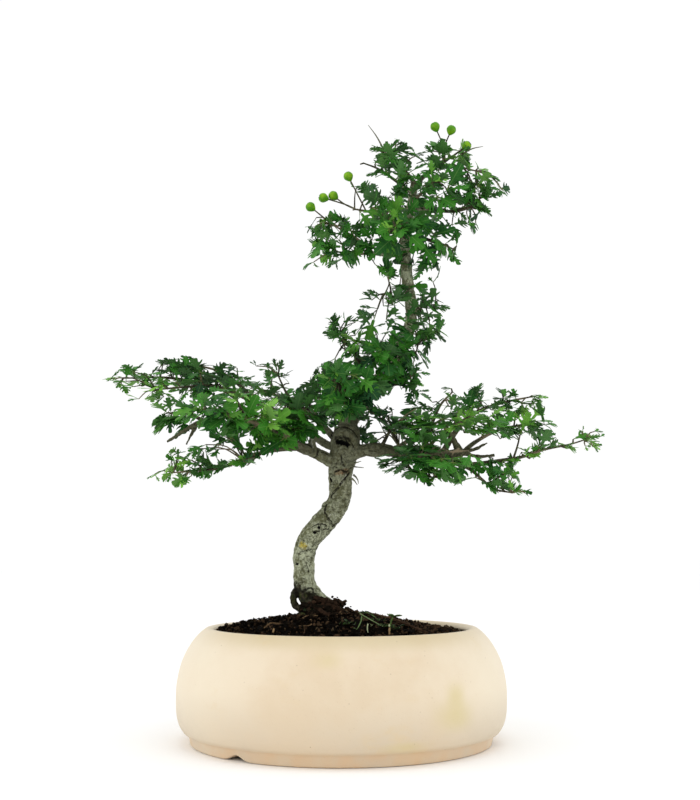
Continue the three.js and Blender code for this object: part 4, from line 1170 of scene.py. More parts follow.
class BONSAI_OT_drain_screen(bpy.types.Operator):
    """Weaves the screen over the drain hole from a wire grid"""

    bl_idname = "bonsai.drain_screen"
    bl_label = "Drain screen"

    def execute(self, context):
        cells = round(SCREEN_SIDE / SCREEN_PITCH)
        bpy.ops.mesh.primitive_grid_add(
            x_subdivisions=cells, y_subdivisions=cells, size=SCREEN_SIDE * MM,
            location=at(0, 0, SCREEN_MIDDLE))
        screen = settle(bpy.context.object)
        modify(screen, "WIREFRAME", thickness=SCREEN_WIRE * MM, use_boundary=True)
        plastic = Finish("screen_plastic", roughness=0.55)
        grain = plastic.noise(plastic.place(), 1500, 2)
        plastic.colour((0.015, 0.015, 0.017), ((0.035, 0.035, 0.038), grain))
        plastic.give(screen)
        finished(screen, "drain_mesh", "screen", "drain_screen")
        return {"FINISHED"}


def soil_height(radius):
    """The height of the mound at a radius from the pot's axis, before it settles"""
    return SOIL_EDGE + SOIL_MOUND * (1 - min(1, radius / SOIL_REACH) ** SOIL_FALL)


def sink_right(piece):
    """Lowers the soil, or what lies on it, towards the right, where the mound has settled"""
    for vertex in piece.data.vertices:
        across = (vertex.co.x - POT_MIDDLE.x) / MM
        vertex.co.z -= SOIL_SINK * MM * step(*SINK_ACROSS, across) * step(*SINK_HEIGHTS, vertex.co.z / MM)


def soil_finish(settings):
    """Damp dark peat with browner and paler crumbs, by each crumb's own tint"""
    finish = Finish("soil", roughness=0.95, shine=0.02)
    place = finish.place()
    tint = finish.attribute("tint")
    speckle = finish.noise(place, 700, 4, 0.7)
    shade = tint + (speckle - 0.5) * 0.8
    finish.colour(
        settings.dark,
        (settings.brown, shade.step(0, 0.5)),
        (settings.dry, shade.step(0.6, 1.2)),
    )
    finish.bump(finish.noise(place, 1400, 5, 0.7), 0.8, 0.0006)
    return finish


def give_tint(mesh, value):
    """Stores one number on every point of a mesh, for its finish to read"""
    tint = mesh.attributes.get("tint") or mesh.attributes.new("tint", "FLOAT", "POINT")
    tint.data.foreach_set("value", [value] * len(mesh.vertices))


def crumb_shapes(chance, count):
    """A few lumpy crumbs of radius 1, to be copied at their real size"""
    shapes = []
    for i in range(count):
        bpy.ops.mesh.primitive_ico_sphere_add(subdivisions=1, radius=1)
        crumb = named(bpy.context.object, f"crumb_{i}")
        for vertex in crumb.data.vertices:
            vertex.co *= chance.uniform(0.5, 1.35)
            vertex.co.z *= 0.75
        shapes.append(crumb)
    return shapes


def placing(place, size, *turns):
    """The matrix that sizes a shape, turns it about axes, the last one first, and sets it at a place"""
    matrix = Matrix.Translation(at(*place))
    for angle, axis in turns:
        matrix = matrix @ Matrix.Rotation(angle, 4, axis)
    return matrix @ Matrix.Scale(size, 4)


def copied(shape, matrix, tint):
    """A copy of a shape with its own mesh and tint, moved by a matrix"""
    mesh = shape.data.copy()
    mesh.transform(matrix)
    give_tint(mesh, tint)
    piece = bpy.data.objects.new(shape.name, mesh)
    bpy.context.collection.objects.link(piece)
    return piece


class BONSAI_OT_soil(bpy.types.Operator):
    """Heaps the soil in the pot and scatters its crumbs"""

    bl_idname = "bonsai.soil"
    bl_label = "Soil"

    def execute(self, context):
        settings = context.scene.bonsai_soil
        chance = random.Random(settings.seed)
        wall = [(radius - SOIL_GAP, height) for radius, height in reversed(POT_INSIDE[:-1])]
        profile = [(HOLE_RADIUS, SOIL_FLOOR), (98, SOIL_FLOOR + 0.3), *rounded(wall, 6)]
        radii = [mix(*MOUND_RADII, i / MOUND_RINGS) for i in range(MOUND_RINGS + 1)]
        profile += [(radius, soil_height(radius)) for radius in radii]
        soil = turned("soil", profile, MOUND_SEGMENTS)
        with Editing(soil) as edit:
            edit.pick("edges", near_axis(HOLE_RADIUS + 0.2))
            bpy.ops.mesh.fill()
            edit.face_outwards()
        vertices = soil.data.vertices
        top = [vertex.index for vertex in vertices if vertex.co.z > RELIEF_START * MM]
        soil.vertex_groups.new(name="top").add(top, 1, "REPLACE")
        for grain, strength in SOIL_RELIEF:
            displace(soil, grain * MM, strength * MM, vertex_group="top", direction="Z")
        give_tint(soil.data, 0)
        soil_finish(settings).give(soil)
        shapes = crumb_shapes(chance, 5)
        for shape in shapes:
            shape.data.materials.append(soil.data.materials[0])
        crumbs = []
        for i in range(settings.crumbs):
            radius = SOIL_REACH * math.sqrt(chance.random()) * 0.995
            turn = chance.uniform(0, 2 * math.pi)
            x, y = radius * math.cos(turn), radius * math.sin(turn)
            size = settings.crumb_size * mix(CRUMB_SMALLEST, 1, chance.random())
            if chance.random() < CRUMB_BIG_SHARE:
                size *= CRUMB_BIG
            place = (x, y, soil_height(radius) + chance.uniform(-0.5, 1.2))
            matrix = placing(place, size, (chance.uniform(0, 6), "Z"), (chance.uniform(0, 3), "X"))
            tint = chance.random() ** mix(5, 1.6, step(-20, 60, x))
            crumbs.append(copied(shapes[i % len(shapes)], matrix, tint))
        join(soil, *crumbs)
        remove(*shapes)
        sink_right(soil)
        smooth(soil, 50)
        finished(soil, "potting_soil", "soil", "soil")
        return {"FINISHED"}


# Roots over the trunk's foot and stems on the soil: how light, first and last radius, and points
LITTER = [
    (0.1, 2.8, 2, [(-30, -5, 101), (-19, -12, 99.5), (-7, -12, 98.5), (3, -7, 95)]),
    (0.05, 2.6, 1.8, [(-31, -6, 97.5), (-20, -13, 96), (-8, -16, 95), (5, -12, 91)]),
    (0.25, 2.6, 2, [(-21, -8, 106), (-12, -10, 104), (-6, -7, 102.5), (-1, -2, 100)]),
    (0.3, 2.2, 1.5, [(-12, -11, 101), (-4, -12, 99), (1, -12, 96), (3, -17, 90)]),
    (0.2, 2, 1.2, [(-24, -11, 97), (-21, -17, 93), (-14, -22, 90), (-6, -26, 88)]),
    (0.35, 1.8, 1.2, [(-17, -14, 98), (-12, -20, 95), (-4, -23, 92), (3, -25, 89)]),
    (0.3, 3.6, 2.6, [(-6, -3, 103), (-3, -2, 102.5), (1, 0, 100)]),
    (0.3, 2.8, 2, [(3, -2, 97), (6, 0, 96), (10, 2, 94)]),
    (0.75, 0.8, 0.5, [(4, -8, 97), (-1, -16, 94), (-5, -22, 91), (-7, -28, 89)]),
    (0.65, 0.7, 0.5, [(1, -10, 98), (-3, -18, 94), (-9, -24, 91)]),
    (0.8, 0.8, 0.4, [(-27, -24, 92), (-22, -33, 90), (-17, -40, 88)]),
    (0.9, 0.7, 0.3, [(-23, -30, 91), (-20, -38, 88.5), (-26, -44, 87.5)]),
    (0.55, 0.7, 0.4, [(-16, -34, 90), (-20, -42, 88), (-28, -46, 87)]),
    (0.6, 1.1, 0.7, [(18, -30, 97), (36, -42, 95), (50, -52, 91), (62, -60, 87)]),
    (0.45, 0.9, 0.6, [(36, -48, 95), (48, -56, 92), (58, -66, 88)]),
    (0.7, 0.6, 0.4, [(-44, -60, 90), (-50, -64, 91), (-54, -70, 88)]),
    (1, 0.6, 0.5, [(-47, -76, 88), (-47.5, -77, 85.5)]),
    (1, 0.8, 0.6, [(34, -74, 90), (34, -77, 86)]),
]
# The first rows of LITTER are the roots that clods hang on
CLODDED_ROOTS = 8
CLODS = 220
# Rootlets: how many, their radii, and how far from the trunk's foot the nearer third of them begin
ROOTLETS = 66
ROOTLET_RADII = (0.45, 0.2)
FOOT_REACH = (2, 26)
FOOT_MIDDLE = (-8, -6)
# Moss: the middle of each tuft, how far it spreads and how many blades it has
MOSS = [
    ((-24, -13, 98), 5, 22), ((-8, -29, 92), 5, 24), ((-14, -26, 91), 5, 20), ((4, -60, 91), 4, 14),
    ((31, -60, 91), 5, 16), ((40, -60, 90), 5, 14), ((24, -46, 94), 4, 10), ((16, -38, 98), 3, 8),
]
MOSS_RADII = (0.4, 0.3, 0.1)


def litter_finish():
    """Dead roots and stems by their own tint, from near black through red-brown to straw"""
    finish = Finish("litter", roughness=0.9, shine=0.05)
    place = finish.place()
    shade = finish.attribute("tint") + (finish.noise(place, 400, 4, 0.7) - 0.5) * 0.9
    finish.colour(
        (0.006, 0.005, 0.003),
        ((0.045, 0.024, 0.014), shade.step(0, 0.55)),
        ((0.3, 0.2, 0.1), shade.step(0.5, 1.15)),
    )
    finish.bump(finish.noise(finish.stretched(place, (1, 1, 0.5)), 900, 4, 0.7), 0.8, 0.0008)
    return finish


def tinted_rod(tint, points, radii, gap):
    """A round rod with one tint, from a first radius to a last one"""
    piece = tubes("rod", [rod(points, *radii, gap=gap, pieces=8)], 1)
    give_tint(piece.data, tint)
    return piece


class BONSAI_OT_litter(bpy.types.Operator):
    """Lays surface roots, clods, rootlets and dry stems over the soil"""

    bl_idname = "bonsai.litter"
    bl_label = "Roots and litter"

    def execute(self, context):
        chance = random.Random(context.scene.bonsai_soil.seed)
        rows = [*LITTER, *self.rootlets(chance)]
        roots = [tinted_rod(tint, points, radii, 1.5) for tint, *radii, points in rows]
        shapes = crumb_shapes(chance, 4)
        for i in range(CLODS):
            _, first, _, points = LITTER[i % CLODDED_ROOTS]
            place = Path(points, 8).place(chance.random())
            place += Vector(chance.gauss(0, 0.55) * first for _ in range(3))
            turn = chance.uniform(0, 6)
            matrix = placing(place, chance.uniform(0.9, 2) * MM, (turn, "Z"))
            roots.append(copied(shapes[i % len(shapes)], matrix, 0.5 * chance.random()))
        litter = join(*roots)
        remove(*shapes)
        displace(litter, 2 * MM, 1.4 * MM)
        sink_right(litter)
        litter_finish().give(litter)
        smooth(litter, 60)
        finished(litter, "surface_roots", "bark")
        return {"FINISHED"}

    @staticmethod
    def rootlets(chance):
        """Rows like those of LITTER for short rootlets, a third of them round the trunk's foot"""
        rows = []
        for i in range(ROOTLETS):
            turn = chance.uniform(0, 2 * math.pi)
            if i % 3 == 0:
                radius = chance.uniform(*FOOT_REACH)
                x, y = FOOT_MIDDLE
            else:
                radius = SOIL_REACH * 0.97 * math.sqrt(chance.random())
                x, y = 0, 0
            x += radius * math.cos(turn)
            y += radius * math.sin(turn)
            heading = chance.uniform(0, 2 * math.pi)
            points = []
            for _ in range(4):
                out = math.hypot(x, y)
                if out < SOIL_REACH - 3:
                    points.append((x, y, soil_height(out) + chance.uniform(0.6, 2.4)))
                heading += chance.uniform(-0.7, 0.7)
                x += chance.uniform(2, 5) * math.cos(heading)
                y += chance.uniform(2, 5) * math.sin(heading)
            if len(points) > 1:
                rows.append((0.85 * chance.random() ** 1.6, *ROOTLET_RADII, points))
        return rows


def bark_finish(settings):
    """Pale old bark with cracks, scars and lichen, browner above, browner on the limbs as young bark and as
    painted shade, dark at the foot, with painted shade in the hollows
    """
    finish = Finish("bark", roughness=0.85, shine=0.1)
    place = finish.place()
    across, _, height = finish.split(place)
    clouds = finish.noise(place, 75, 5, 0.65)
    grain = finish.noise(finish.stretched(place, (1, 1, 0.8)), 330, 5, 0.7)
    speckle = finish.noise(place, 900, 3, 0.6)
    low = 1 - height.step(0.125, 0.16)
    patches = (clouds + (grain - 0.5) * 1.2 + low * 0.07).step(0.36, 0.66)
    upper = (height + (clouds - 0.5) * 0.06).step(0.14, 0.235) * (1 - height.step(0.25, 0.285))
    flecks = finish.noise(place, 420, 3, 0.6).step(0.55, 0.7)
    wrinkles = abs(finish.noise(finish.stretched(place, (1, 1, 0.6)), 260, 4, 0.65) - 0.5)
    cracks = (1 - wrinkles.step(0, 0.018)) * clouds.step(0.4, 0.6)
    rings = finish.noise(finish.stretched(place, (1, 1, 5)), 160, 4, 0.65).step(0.56, 0.72)
    leaning = height + (across - at(-31, 0, 0).x) * 0.6
    foot = 1 - (leaning + (grain - 0.5) * 0.012).step(0.1125, 0.1195)
    crumbly = finish.noise(place, 330, 4, 0.7).step(0.42, 0.66)
    earth = finish.blend((0.006, 0.005, 0.003), (0.055, 0.042, 0.024), crumbly)
    moss = (1 - height.step(0.107, 0.118)) * finish.noise(place, 150, 4, 0.6).step(0.46, 0.62)
    stain = {name: finish.attribute(name) for name in STAINS}
    scar = stain["scar"].step(0.05, 0.6) * finish.noise(place, 500, 2, 0.5).step(0.28, 0.5)
    finish.colour(
        settings.olive,
        (settings.pale, patches),
        (settings.brown, upper * 0.75),
        (settings.dark, flecks * (0.42 - low * 0.22)),
        # Young bark with painted shade on the limbs away from the trunk
        (settings.brown, stain["thin"] * 0.8),
        (settings.dark, (cracks * 0.55).maximum(grain.step(0.6, 0.82) * 0.5)),
        (settings.brown, rings * 0.45),
        ((0.6, 0.6, 0.48), speckle.step(0.6, 0.74) * 0.3),
        (earth, foot * 0.95),
        ((0.06, 0.075, 0.014), moss * 0.6),
        ((0.2, 0.075, 0.02), stain["rust"] * grain.step(0.35, 0.6) * 0.85),
        ((0.55, 0.42, 0.02), stain["lichen"] * speckle.step(0.32, 0.55) * 0.85),
        ((0.55, 0.55, 0.45), stain["pale"].step(0.2, 0.7) * 0.7),
        ((0.45, 0.4, 0.12), stain["cut"].step(0.1, 0.5) * 0.9),
        ((0.012, 0.01, 0.006), scar * 0.9),
        # Painted shade in the hollows
        ((0.003, 0.003, 0.002), stain["hollow"].step(0.05, 0.5)),
    )
    finish.bump(grain * 1.4 - cracks * 1.5 - rings * 0.8 + clouds + speckle * 0.4, 0.9, 0.0012)
    return finish


def near_places(places):
    """A search tree of places in metres, each found by its number in the list"""
    found = KDTree(len(places))
    for i, place in enumerate(places):
        found.insert(place, i)
    found.balance()
    return found


def carve(tree):
    """Presses the marks into the bark where they show from the front, and stores what they stain"""
    vertices = tree.data.vertices
    tree_points = near_places([vertex.co for vertex in vertices])
    stains = {name: [0.0] * len(vertices) for name in STAINS}
    eye = at(*EYE)
    moves = {}
    for stain, width, depth, strength, line in MARKS:
        path = Path([(x, 0, z) for x, z in line], 8)
        gaps = {}
        count = math.ceil(path.length / MARK_STEP) + 1
        for i in range(count + 1):
            hit, place, *_ = tree.ray_cast(eye, at(*path.place(i / count)) - eye)
            for near, index, gap in tree_points.find_range(place, width * MM) if hit else ():
                gap = min(width * MM, gap * (1 + MARK_RAGGED * abs(noise.noise(near * MARK_GRAIN))))
                gaps[index] = min(gap, gaps.get(index, gap))
        for index, gap in gaps.items():
            nearness = (1 - (gap / (width * MM)) ** 2) ** 2
            moves[index] = moves.get(index, 0) + depth * MM * nearness
            stains[stain][index] = max(stains[stain][index], strength * min(1, 1.6 * nearness))
    normals = {index: vertices[index].normal.copy() for index in moves}
    for index, move in moves.items():
        vertices[index].co -= normals[index] * move
    old_wood = TRUNK + LEADER
    trunk_points = near_places([at(*row[:3]) for row in old_wood])
    # How far each point lies out on a limb, for the young bark and its painted shade
    for vertex in vertices:
        _, i, gap = trunk_points.find(vertex.co)
        stains["thin"][vertex.index] = step(*YOUNG_BARK_AND_SHADE, gap / MM - old_wood[i][3])
    for name, values in stains.items():
        tree.data.attributes.new(name, "FLOAT", "POINT").data.foreach_set("value", values)
    tree.data.update()


class BONSAI_OT_tree(bpy.types.Operator):
    """Fuses trunk, roots, leader and limbs, carves the bark and adds the bare feet of the branches"""

    bl_idname = "bonsai.tree"
    bl_label = "Tree"

    def execute(self, context):
        settings = context.scene.bonsai_tree
        strands = [strand(Path(rows), radius_of(rows)) for rows in (TRUNK, LEADER)]
        strands += [rod(points, *ROOT_RADII) for points in ROOTS]
        strands.append(rod(ROOT_LOOP, ROOT_LOOP_RADIUS, ROOT_LOOP_RADIUS))
        strands += [rod(points, first, last) for first, last, points in LIMBS]
        feet = []
        for share, first, points, _ in BRANCHES.values():
            feet.append(rod(points, first, TWIG_TIP_RADIUS, 0, share))
            if first >= FUSED_RADIUS:
                strands.append(feet[-1])
        spikes = [rod(points, *SPIKE_RADII) for points in SPIKES]
        tree = tubes("tree", strands, 4)
        modify(tree, "REMESH", mode="VOXEL", voxel_size=settings.voxel, use_smooth_shade=True)
        modify(tree, "SMOOTH", factor=0.5, iterations=3)
        for grain, share in zip(BARK_GRAINS, (1.5, 1)):
            displace(tree, grain * MM, settings.relief * share)
        join(tree, tubes("feet", feet + spikes, 2))
        carve(tree)
        bark_finish(settings).give(tree)
        smooth(tree, 60)
        finished(tree, "tree_wood", "bark", "tree")
        return {"FINISHED"}


def leaf_finish(settings):
    """Green by each leaf's tint, which holds its own tone and painted light and shade, with a paler midrib,
    side veins and underside
    """
    finish = Finish("leaf", roughness=0.5, shine=0.09)
    along, across, _ = finish.split(finish.attribute("blade", "Vector"))
    off = abs(across - 0.5)
    tint = finish.attribute("tint")
    place = finish.place()
    mottle = finish.noise(place, 260, 3, 0.6)
    # The tint holds painted light and shade besides each leaf's own tone
    shade = tint + (mottle - 0.5) * 0.22
    midrib = 1 - off.step(0.006, 0.022)
    slant = (along - off * 0.9) * 7
    side_veins = (1 - slant.math("PINGPONG", slant, 0.5).step(0.02, 0.09)) * off.step(0.01, 0.03)
    under = finish.attribute("underside")
    stalk = 1 - along.step(-0.02, 0.02)
    finish.colour(
        settings.deep,
        (settings.green, shade.step(0, 0.5)),
        (settings.young, shade.step(0.5, 1)),
        ((0.2, 0.36, 0.1), (midrib * 0.3).maximum(side_veins * 0.09)),
        ((0.1, 0.2, 0.075), under * 0.5),
        ((0.14, 0.2, 0.05), stalk * 0.8),
    )
    finish.roughness(0.4 + 0.2 * under + 0.1 * mottle)
    finish.bump(0 - midrib - side_veins * 0.5 + mottle * 0.4, 0.4, 0.0004)
    return finish


def leaf_shape(name, body, lobes, arch, fold):
    """One leaf of length 1 along X, half of it drawn out edge by edge, then mirrored, thickened and bent"""
    (start, low), (end, high) = body[:2]
    bpy.ops.mesh.primitive_plane_add(size=1, location=((start + end) / 2, 0.5, 0))
    leaf = named(settle(bpy.context.object), name)
    with Editing(leaf) as edit:
        edit.pick("verts", lambda place: True)
        bpy.ops.transform.resize(value=(end - start, high, 1), center_override=((start + end) / 2, 0, 0))
        for x, width in body[2:]:
            edit.nearest("edges", Vector((end, high / 2, 0)))
            edit.extrude((x - end, 0, 0))
            bpy.ops.transform.resize(value=(1, width / high, 1), center_override=(x, 0, 0))
            end, high = x, width
        for station, steps in lobes:
            (a, wide_a), (b, wide_b) = body[station:station + 2]
            edit.nearest("edges", Vector(((a + b) / 2, (wide_a + wide_b) / 2, 0)))
            for forward, outward, narrowing in steps:
                edit.extrude((forward, outward, 0), narrowing)
    modify(leaf, "MIRROR", use_axis=(False, True, False), merge_threshold=0.001)
    modify(leaf, "SOLIDIFY", thickness=LEAF_THICKNESS, offset=0)
    bpy.ops.mesh.primitive_cone_add(
        vertices=4, radius1=0.028, radius2=0.02, depth=PETIOLE,
        location=(-PETIOLE / 2 + PETIOLE_OVERLAP, 0, 0), rotation=(0, math.radians(90), 0))
    join(leaf, settle(bpy.context.object))
    under = leaf.data.attributes.new("underside", "FLOAT", "FACE")
    under.data.foreach_set("value", [1 if face.normal.z < -0.5 else 0 for face in leaf.data.polygons])
    blade = leaf.data.attributes.new("blade", "FLOAT_VECTOR", "POINT")
    for vertex, data in zip(leaf.data.vertices, blade.data):
        x, y = vertex.co.x, vertex.co.y
        data.vector = (x, 0.5 + y, 0)
        vertex.co.z += fold * abs(y) - arch * max(0, x) ** 2 - 0.4 * y * y
    return leaf


def leaf_shapes():
    """Every leaf shape in every bend, by the shape's name"""
    return {
        kind: [leaf_shape(f"leaf_{kind}_{i}", **spec, arch=arch, fold=fold)
               for i, (arch, fold) in enumerate(LEAF_BENDS)]
        for kind, spec in LEAF_SHAPES.items()
    }


def seen(place):
    """Where a place in millimetres shows from the front, as x and z on the plane through the pot's axis"""
    share = -EYE[1] / (place.y - EYE[1])
    return mix(EYE[0], place.x, share), mix(EYE[2], place.z, share)


def place_seen_at(x, y, z):
    """The place at a depth y that shows at x and z from the front"""
    share = (y - EYE[1]) / -EYE[1]
    return Vector((mix(EYE[0], x, share), y, mix(EYE[2], z, share)))


def encloses(outline, x, z):
    """Whether a point lies inside a closed outline, by the edges that pass to its right"""
    inside = False
    for (ax, az), (bx, bz) in zip(outline, outline[1:] + outline[:1]):
        if (az > z) != (bz > z) and x < mix(ax, bx, (z - az) / (bz - az)):
            inside = not inside
    return inside


def in_outlines(x, z):
    """Whether a point of the front view lies inside one of the foliage's outlines"""
    return any(encloses(outline, x, z) for outline in OUTLINES.values())


def has_room(place):
    """Whether a place in millimetres lies inside the frame's box and shows inside the foliage's outlines"""
    low, high = CAD_BOX
    inside = all(low[i] + BOX_GAP * MM < part < high[i] - BOX_GAP * MM for i, part in enumerate(at(*place)))
    return inside and in_outlines(*seen(place))


def cell_of(place):
    """The cell of the front view that a place shows in"""
    return tuple(math.floor(part / CELL) for part in seen(place))


def jitter(chance, reach):
    """A random move of up to a reach along each axis"""
    return Vector((chance.uniform(-reach, reach) for _ in range(3)))


def lightness(place):
    """How much painted light the leaves at a place take, less than 0 for painted shade"""
    x, z = seen(place)
    total = 0
    for middle_x, middle_z, reach, amount in LIGHTS:
        total += amount * math.exp(-((x - middle_x) ** 2 + (z - middle_z) ** 2) / reach ** 2)
    return total


class Spray:
    """The twigs and leaves that grow on one branch"""

    def __init__(self, name, settings, covered):
        self.covered = covered
        self.chance = random.Random(f"{settings.seed} {name}")
        self.settings = settings
        self.strands = []
        self.leaves = []
        share, _, points, _ = BRANCHES[name]
        path = Path(points)
        self.spots = [path.place(mix(share, 1, i / 30)) for i in range(31)]

    def twig(self, places, first, last):
        """A twig through places in millimetres, thinner to its end"""
        self.strands.append(rod(places, first, last, gap=4, pieces=8))

    def outward(self, place):
        """Away from the middle of the pad that a place lies in, and how level the pad's leaves lie"""
        middle, reach, level = min(PADS, key=lambda pad: (place - Vector(pad[0])).length)
        away = place - Vector(middle)
        away = Vector((away.x / reach[0] ** 2, away.y / reach[1] ** 2, away.z / reach[2] ** 2)).normalized()
        return away, level

    def leaf(self, foot, axis, facing, length, tint):
        """Adds a leaf, unless it would reach past the frame's box or the foliage's outlines"""
        axis = axis.normalized()
        facing = (facing - axis * facing.dot(axis)).normalized()
        across = facing.cross(axis)
        tip = foot + axis * length * (1 + PETIOLE)
        lobes = foot + axis * length * (LOBES_ALONG + PETIOLE)
        half = across * LOBES_ACROSS * length
        corners = (tip, lobes, lobes - half, lobes + half)
        fits = all(has_room(corner) for corner in corners)
        if fits:
            # The leaf's tint takes the painted light and shade of its place
            self.leaves.append((foot, axis, facing, length, tint + lightness(lobes)))
            self.covered.update(cell_of(corner) for corner in corners)
        return fits

    def cluster(self, foot, direction, length, count, tint):
        """Leaves in a rosette round a spur's end, that lean to the light"""
        chance = self.chance
        side = direction.cross(UP if abs(direction.z) < 0.9 else Vector((1, 0, 0))).normalized()
        over = side.cross(direction)
        first = chance.uniform(0, 2 * math.pi)
        away, level = self.outward(foot)
        for i in range(count):
            tint_here = tint + chance.uniform(-0.3, 0.25)
            for attempt in range(MOST_TRIES):
                turn = first + (i + attempt / 3) * GOLDEN_ANGLE
                spread = math.radians(chance.uniform(35, 90) if i else chance.uniform(5, 45))
                out = side * math.cos(turn) + over * math.sin(turn)
                axis = direction * math.cos(spread) + out * math.sin(spread)
                axis.z = mix(axis.z, -0.15, 0.55 * level)
                facing = away * (1 - 0.6 * level) + UP * level + jitter(chance, 0.5)
                size = length * chance.uniform(0.72, 1.1) * (1 - 0.05 * attempt)
                if self.leaf(foot, axis, facing, size, tint_here):
                    break

    def grow(self, share, first_radius, points):
        """Spurs, side twigs and thorns along the leafy stretch of a branch"""
        chance = self.chance
        path = Path(points)
        self.strands.append(rod(points, first_radius, TWIG_TIP_RADIUS, share - 0.01, 1))
        full = self.settings.leaf / MM
        count = max(3, round(path.length * (1 - share) * MM / self.settings.spacing))
        first_turn = chance.uniform(0, 2 * math.pi)
        for i in range(count):
            reach = (i + 0.6) / (count - 0.4)
            place, along, side, over = path.frame(mix(share, 1, min(0.99, reach)))
            turn = first_turn + i * GOLDEN_ANGLE
            out = side * math.cos(turn) + over * math.sin(turn)
            spread = math.radians(chance.uniform(45, 75))
            direction = along * math.cos(spread) + out * math.sin(spread) + UP * 0.25
            direction.normalize()
            length = full * mix(1, 0.62, reach ** 2)
            tint = self.tint(place, reach)
            if i % 3 == 1 and i < count - 1:
                twig_length = mix(20, 9, reach) * chance.uniform(0.7, 1.2)
                self.side_twig(place, direction, along, twig_length, length, tint)
            else:
                foot = place + direction * chance.uniform(2.5, 5)
                self.twig([place, place.lerp(foot, 0.5), foot], *SPUR_RADII)
                self.cluster(foot, direction, length, chance.choice((2, 3, 3, 4)), tint)
            if i % 5 == 3:
                thorn = place + (out * 0.9 + along * 0.3).normalized() * chance.uniform(*THORN_LENGTHS)
                if has_room(thorn):
                    self.twig([place, place.lerp(thorn, 0.5), thorn], *THORN_RADII)
        place, along, *_ = path.frame(1)
        self.cluster(place, along, full * 0.62, 4, self.tint(place, 1) + 0.1)

    def tuft(self, place, length=TUFT_LENGTH, count=TUFT_LEAVES):
        """Leaves round a place, on a short twig from the nearest spot of the branch"""
        chance = self.chance
        foot = min(self.spots, key=lambda spot: (spot - place).length)
        reach = place - foot
        direction = (reach.normalized() + self.outward(place)[0] * 0.7).normalized()
        end = place - direction * 0.5 * length
        sag = Vector((chance.uniform(-1.5, 1.5), chance.uniform(-1.5, 1.5), 0.12 * reach.length))
        if (end - foot).length > 3:
            self.twig([foot, foot.lerp(end, 0.5) + sag, end], *TUFT_TWIG_RADII)
        self.cluster(end, direction, length * self.settings.tuft_size, count, self.tint(place, 0.5))

    def side_twig(self, place, direction, along, length, leaf, tint):
        """A twig with two spurs along it and leaves at its tip, where there is room for it"""
        chance = self.chance
        tip = place + direction * length + along * length * 0.3 + UP * chance.uniform(-0.1, 0.3) * length
        if not has_room(tip):
            return
        places = [place, place.lerp(tip, 0.5) + jitter(chance, 1.5), tip]
        self.twig(places, *SIDE_TWIG_RADII)
        twig = Path(places, 8)
        for share in (0.45, 0.75):
            spot, ahead, side, over = twig.frame(share)
            turn = chance.uniform(0, 2 * math.pi)
            out = (ahead * 0.6 + side * math.cos(turn) + over * math.sin(turn)).normalized()
            self.cluster(spot, out, leaf * 0.9, 2, tint)
        self.cluster(tip, (tip - places[1]).normalized(), leaf * 0.85, 3, tint + 0.05)

    @staticmethod
    def tint(place, reach):
        """Painted shade at the back and painted light at the front, and lighter towards the branch's tip"""
        return 0.26 + 0.2 * step(40, -70, place.y) + 0.12 * reach ** 3

    def build(self, name, shapes, bark, green):
        """The spray as one piece: round twigs and a copy of a leaf shape for every leaf"""
        piece = tubes(name, self.strands, 1)
        bark.give(piece)
        chance = self.chance
        copies = []
        for foot, axis, facing, length, tint in self.leaves:
            kinds = ("five", "seven")
            if length < SMALL_LEAF:
                kinds = ("tip",)
            elif length < MIDDLING_LEAF:
                kinds = ("three", "five", "five")
            shape = chance.choice(shapes[chance.choice(kinds)])
            size = length * MM
            width = size * chance.uniform(1, 1.25)
            across = facing.cross(axis)
            matrix = Matrix.Translation(at(*foot)) @ Matrix((axis, across, facing)).transposed().to_4x4()
            matrix = matrix @ Matrix.Diagonal((size, width, size, 1))
            matrix = matrix @ Matrix.Translation((PETIOLE - PETIOLE_OVERLAP, 0, 0))
            copies.append(copied(shape, matrix, min(1, max(0, tint))))
        join(piece, *copies)
        smooth(piece, 55)
        finished(piece, f"leafy_{name}", "foliage", f"spray_{name}")


def twig_finish(settings):
    """Young bark, from dark brown to buff"""
    finish = Finish("twig_bark", roughness=0.7, shine=0.06)
    place = finish.place()
    bands = finish.noise(place, 300, 4, 0.6)
    finish.colour(
        settings.dark,
        (settings.brown, bands.step(0.3, 0.7)),
        ((0.24, 0.19, 0.12), finish.noise(place, 40, 3).step(0.5, 0.62) * 0.7),
    )
    finish.bump(finish.noise(place, 1600, 3, 0.6), 0.5, 0.0003)
    return finish


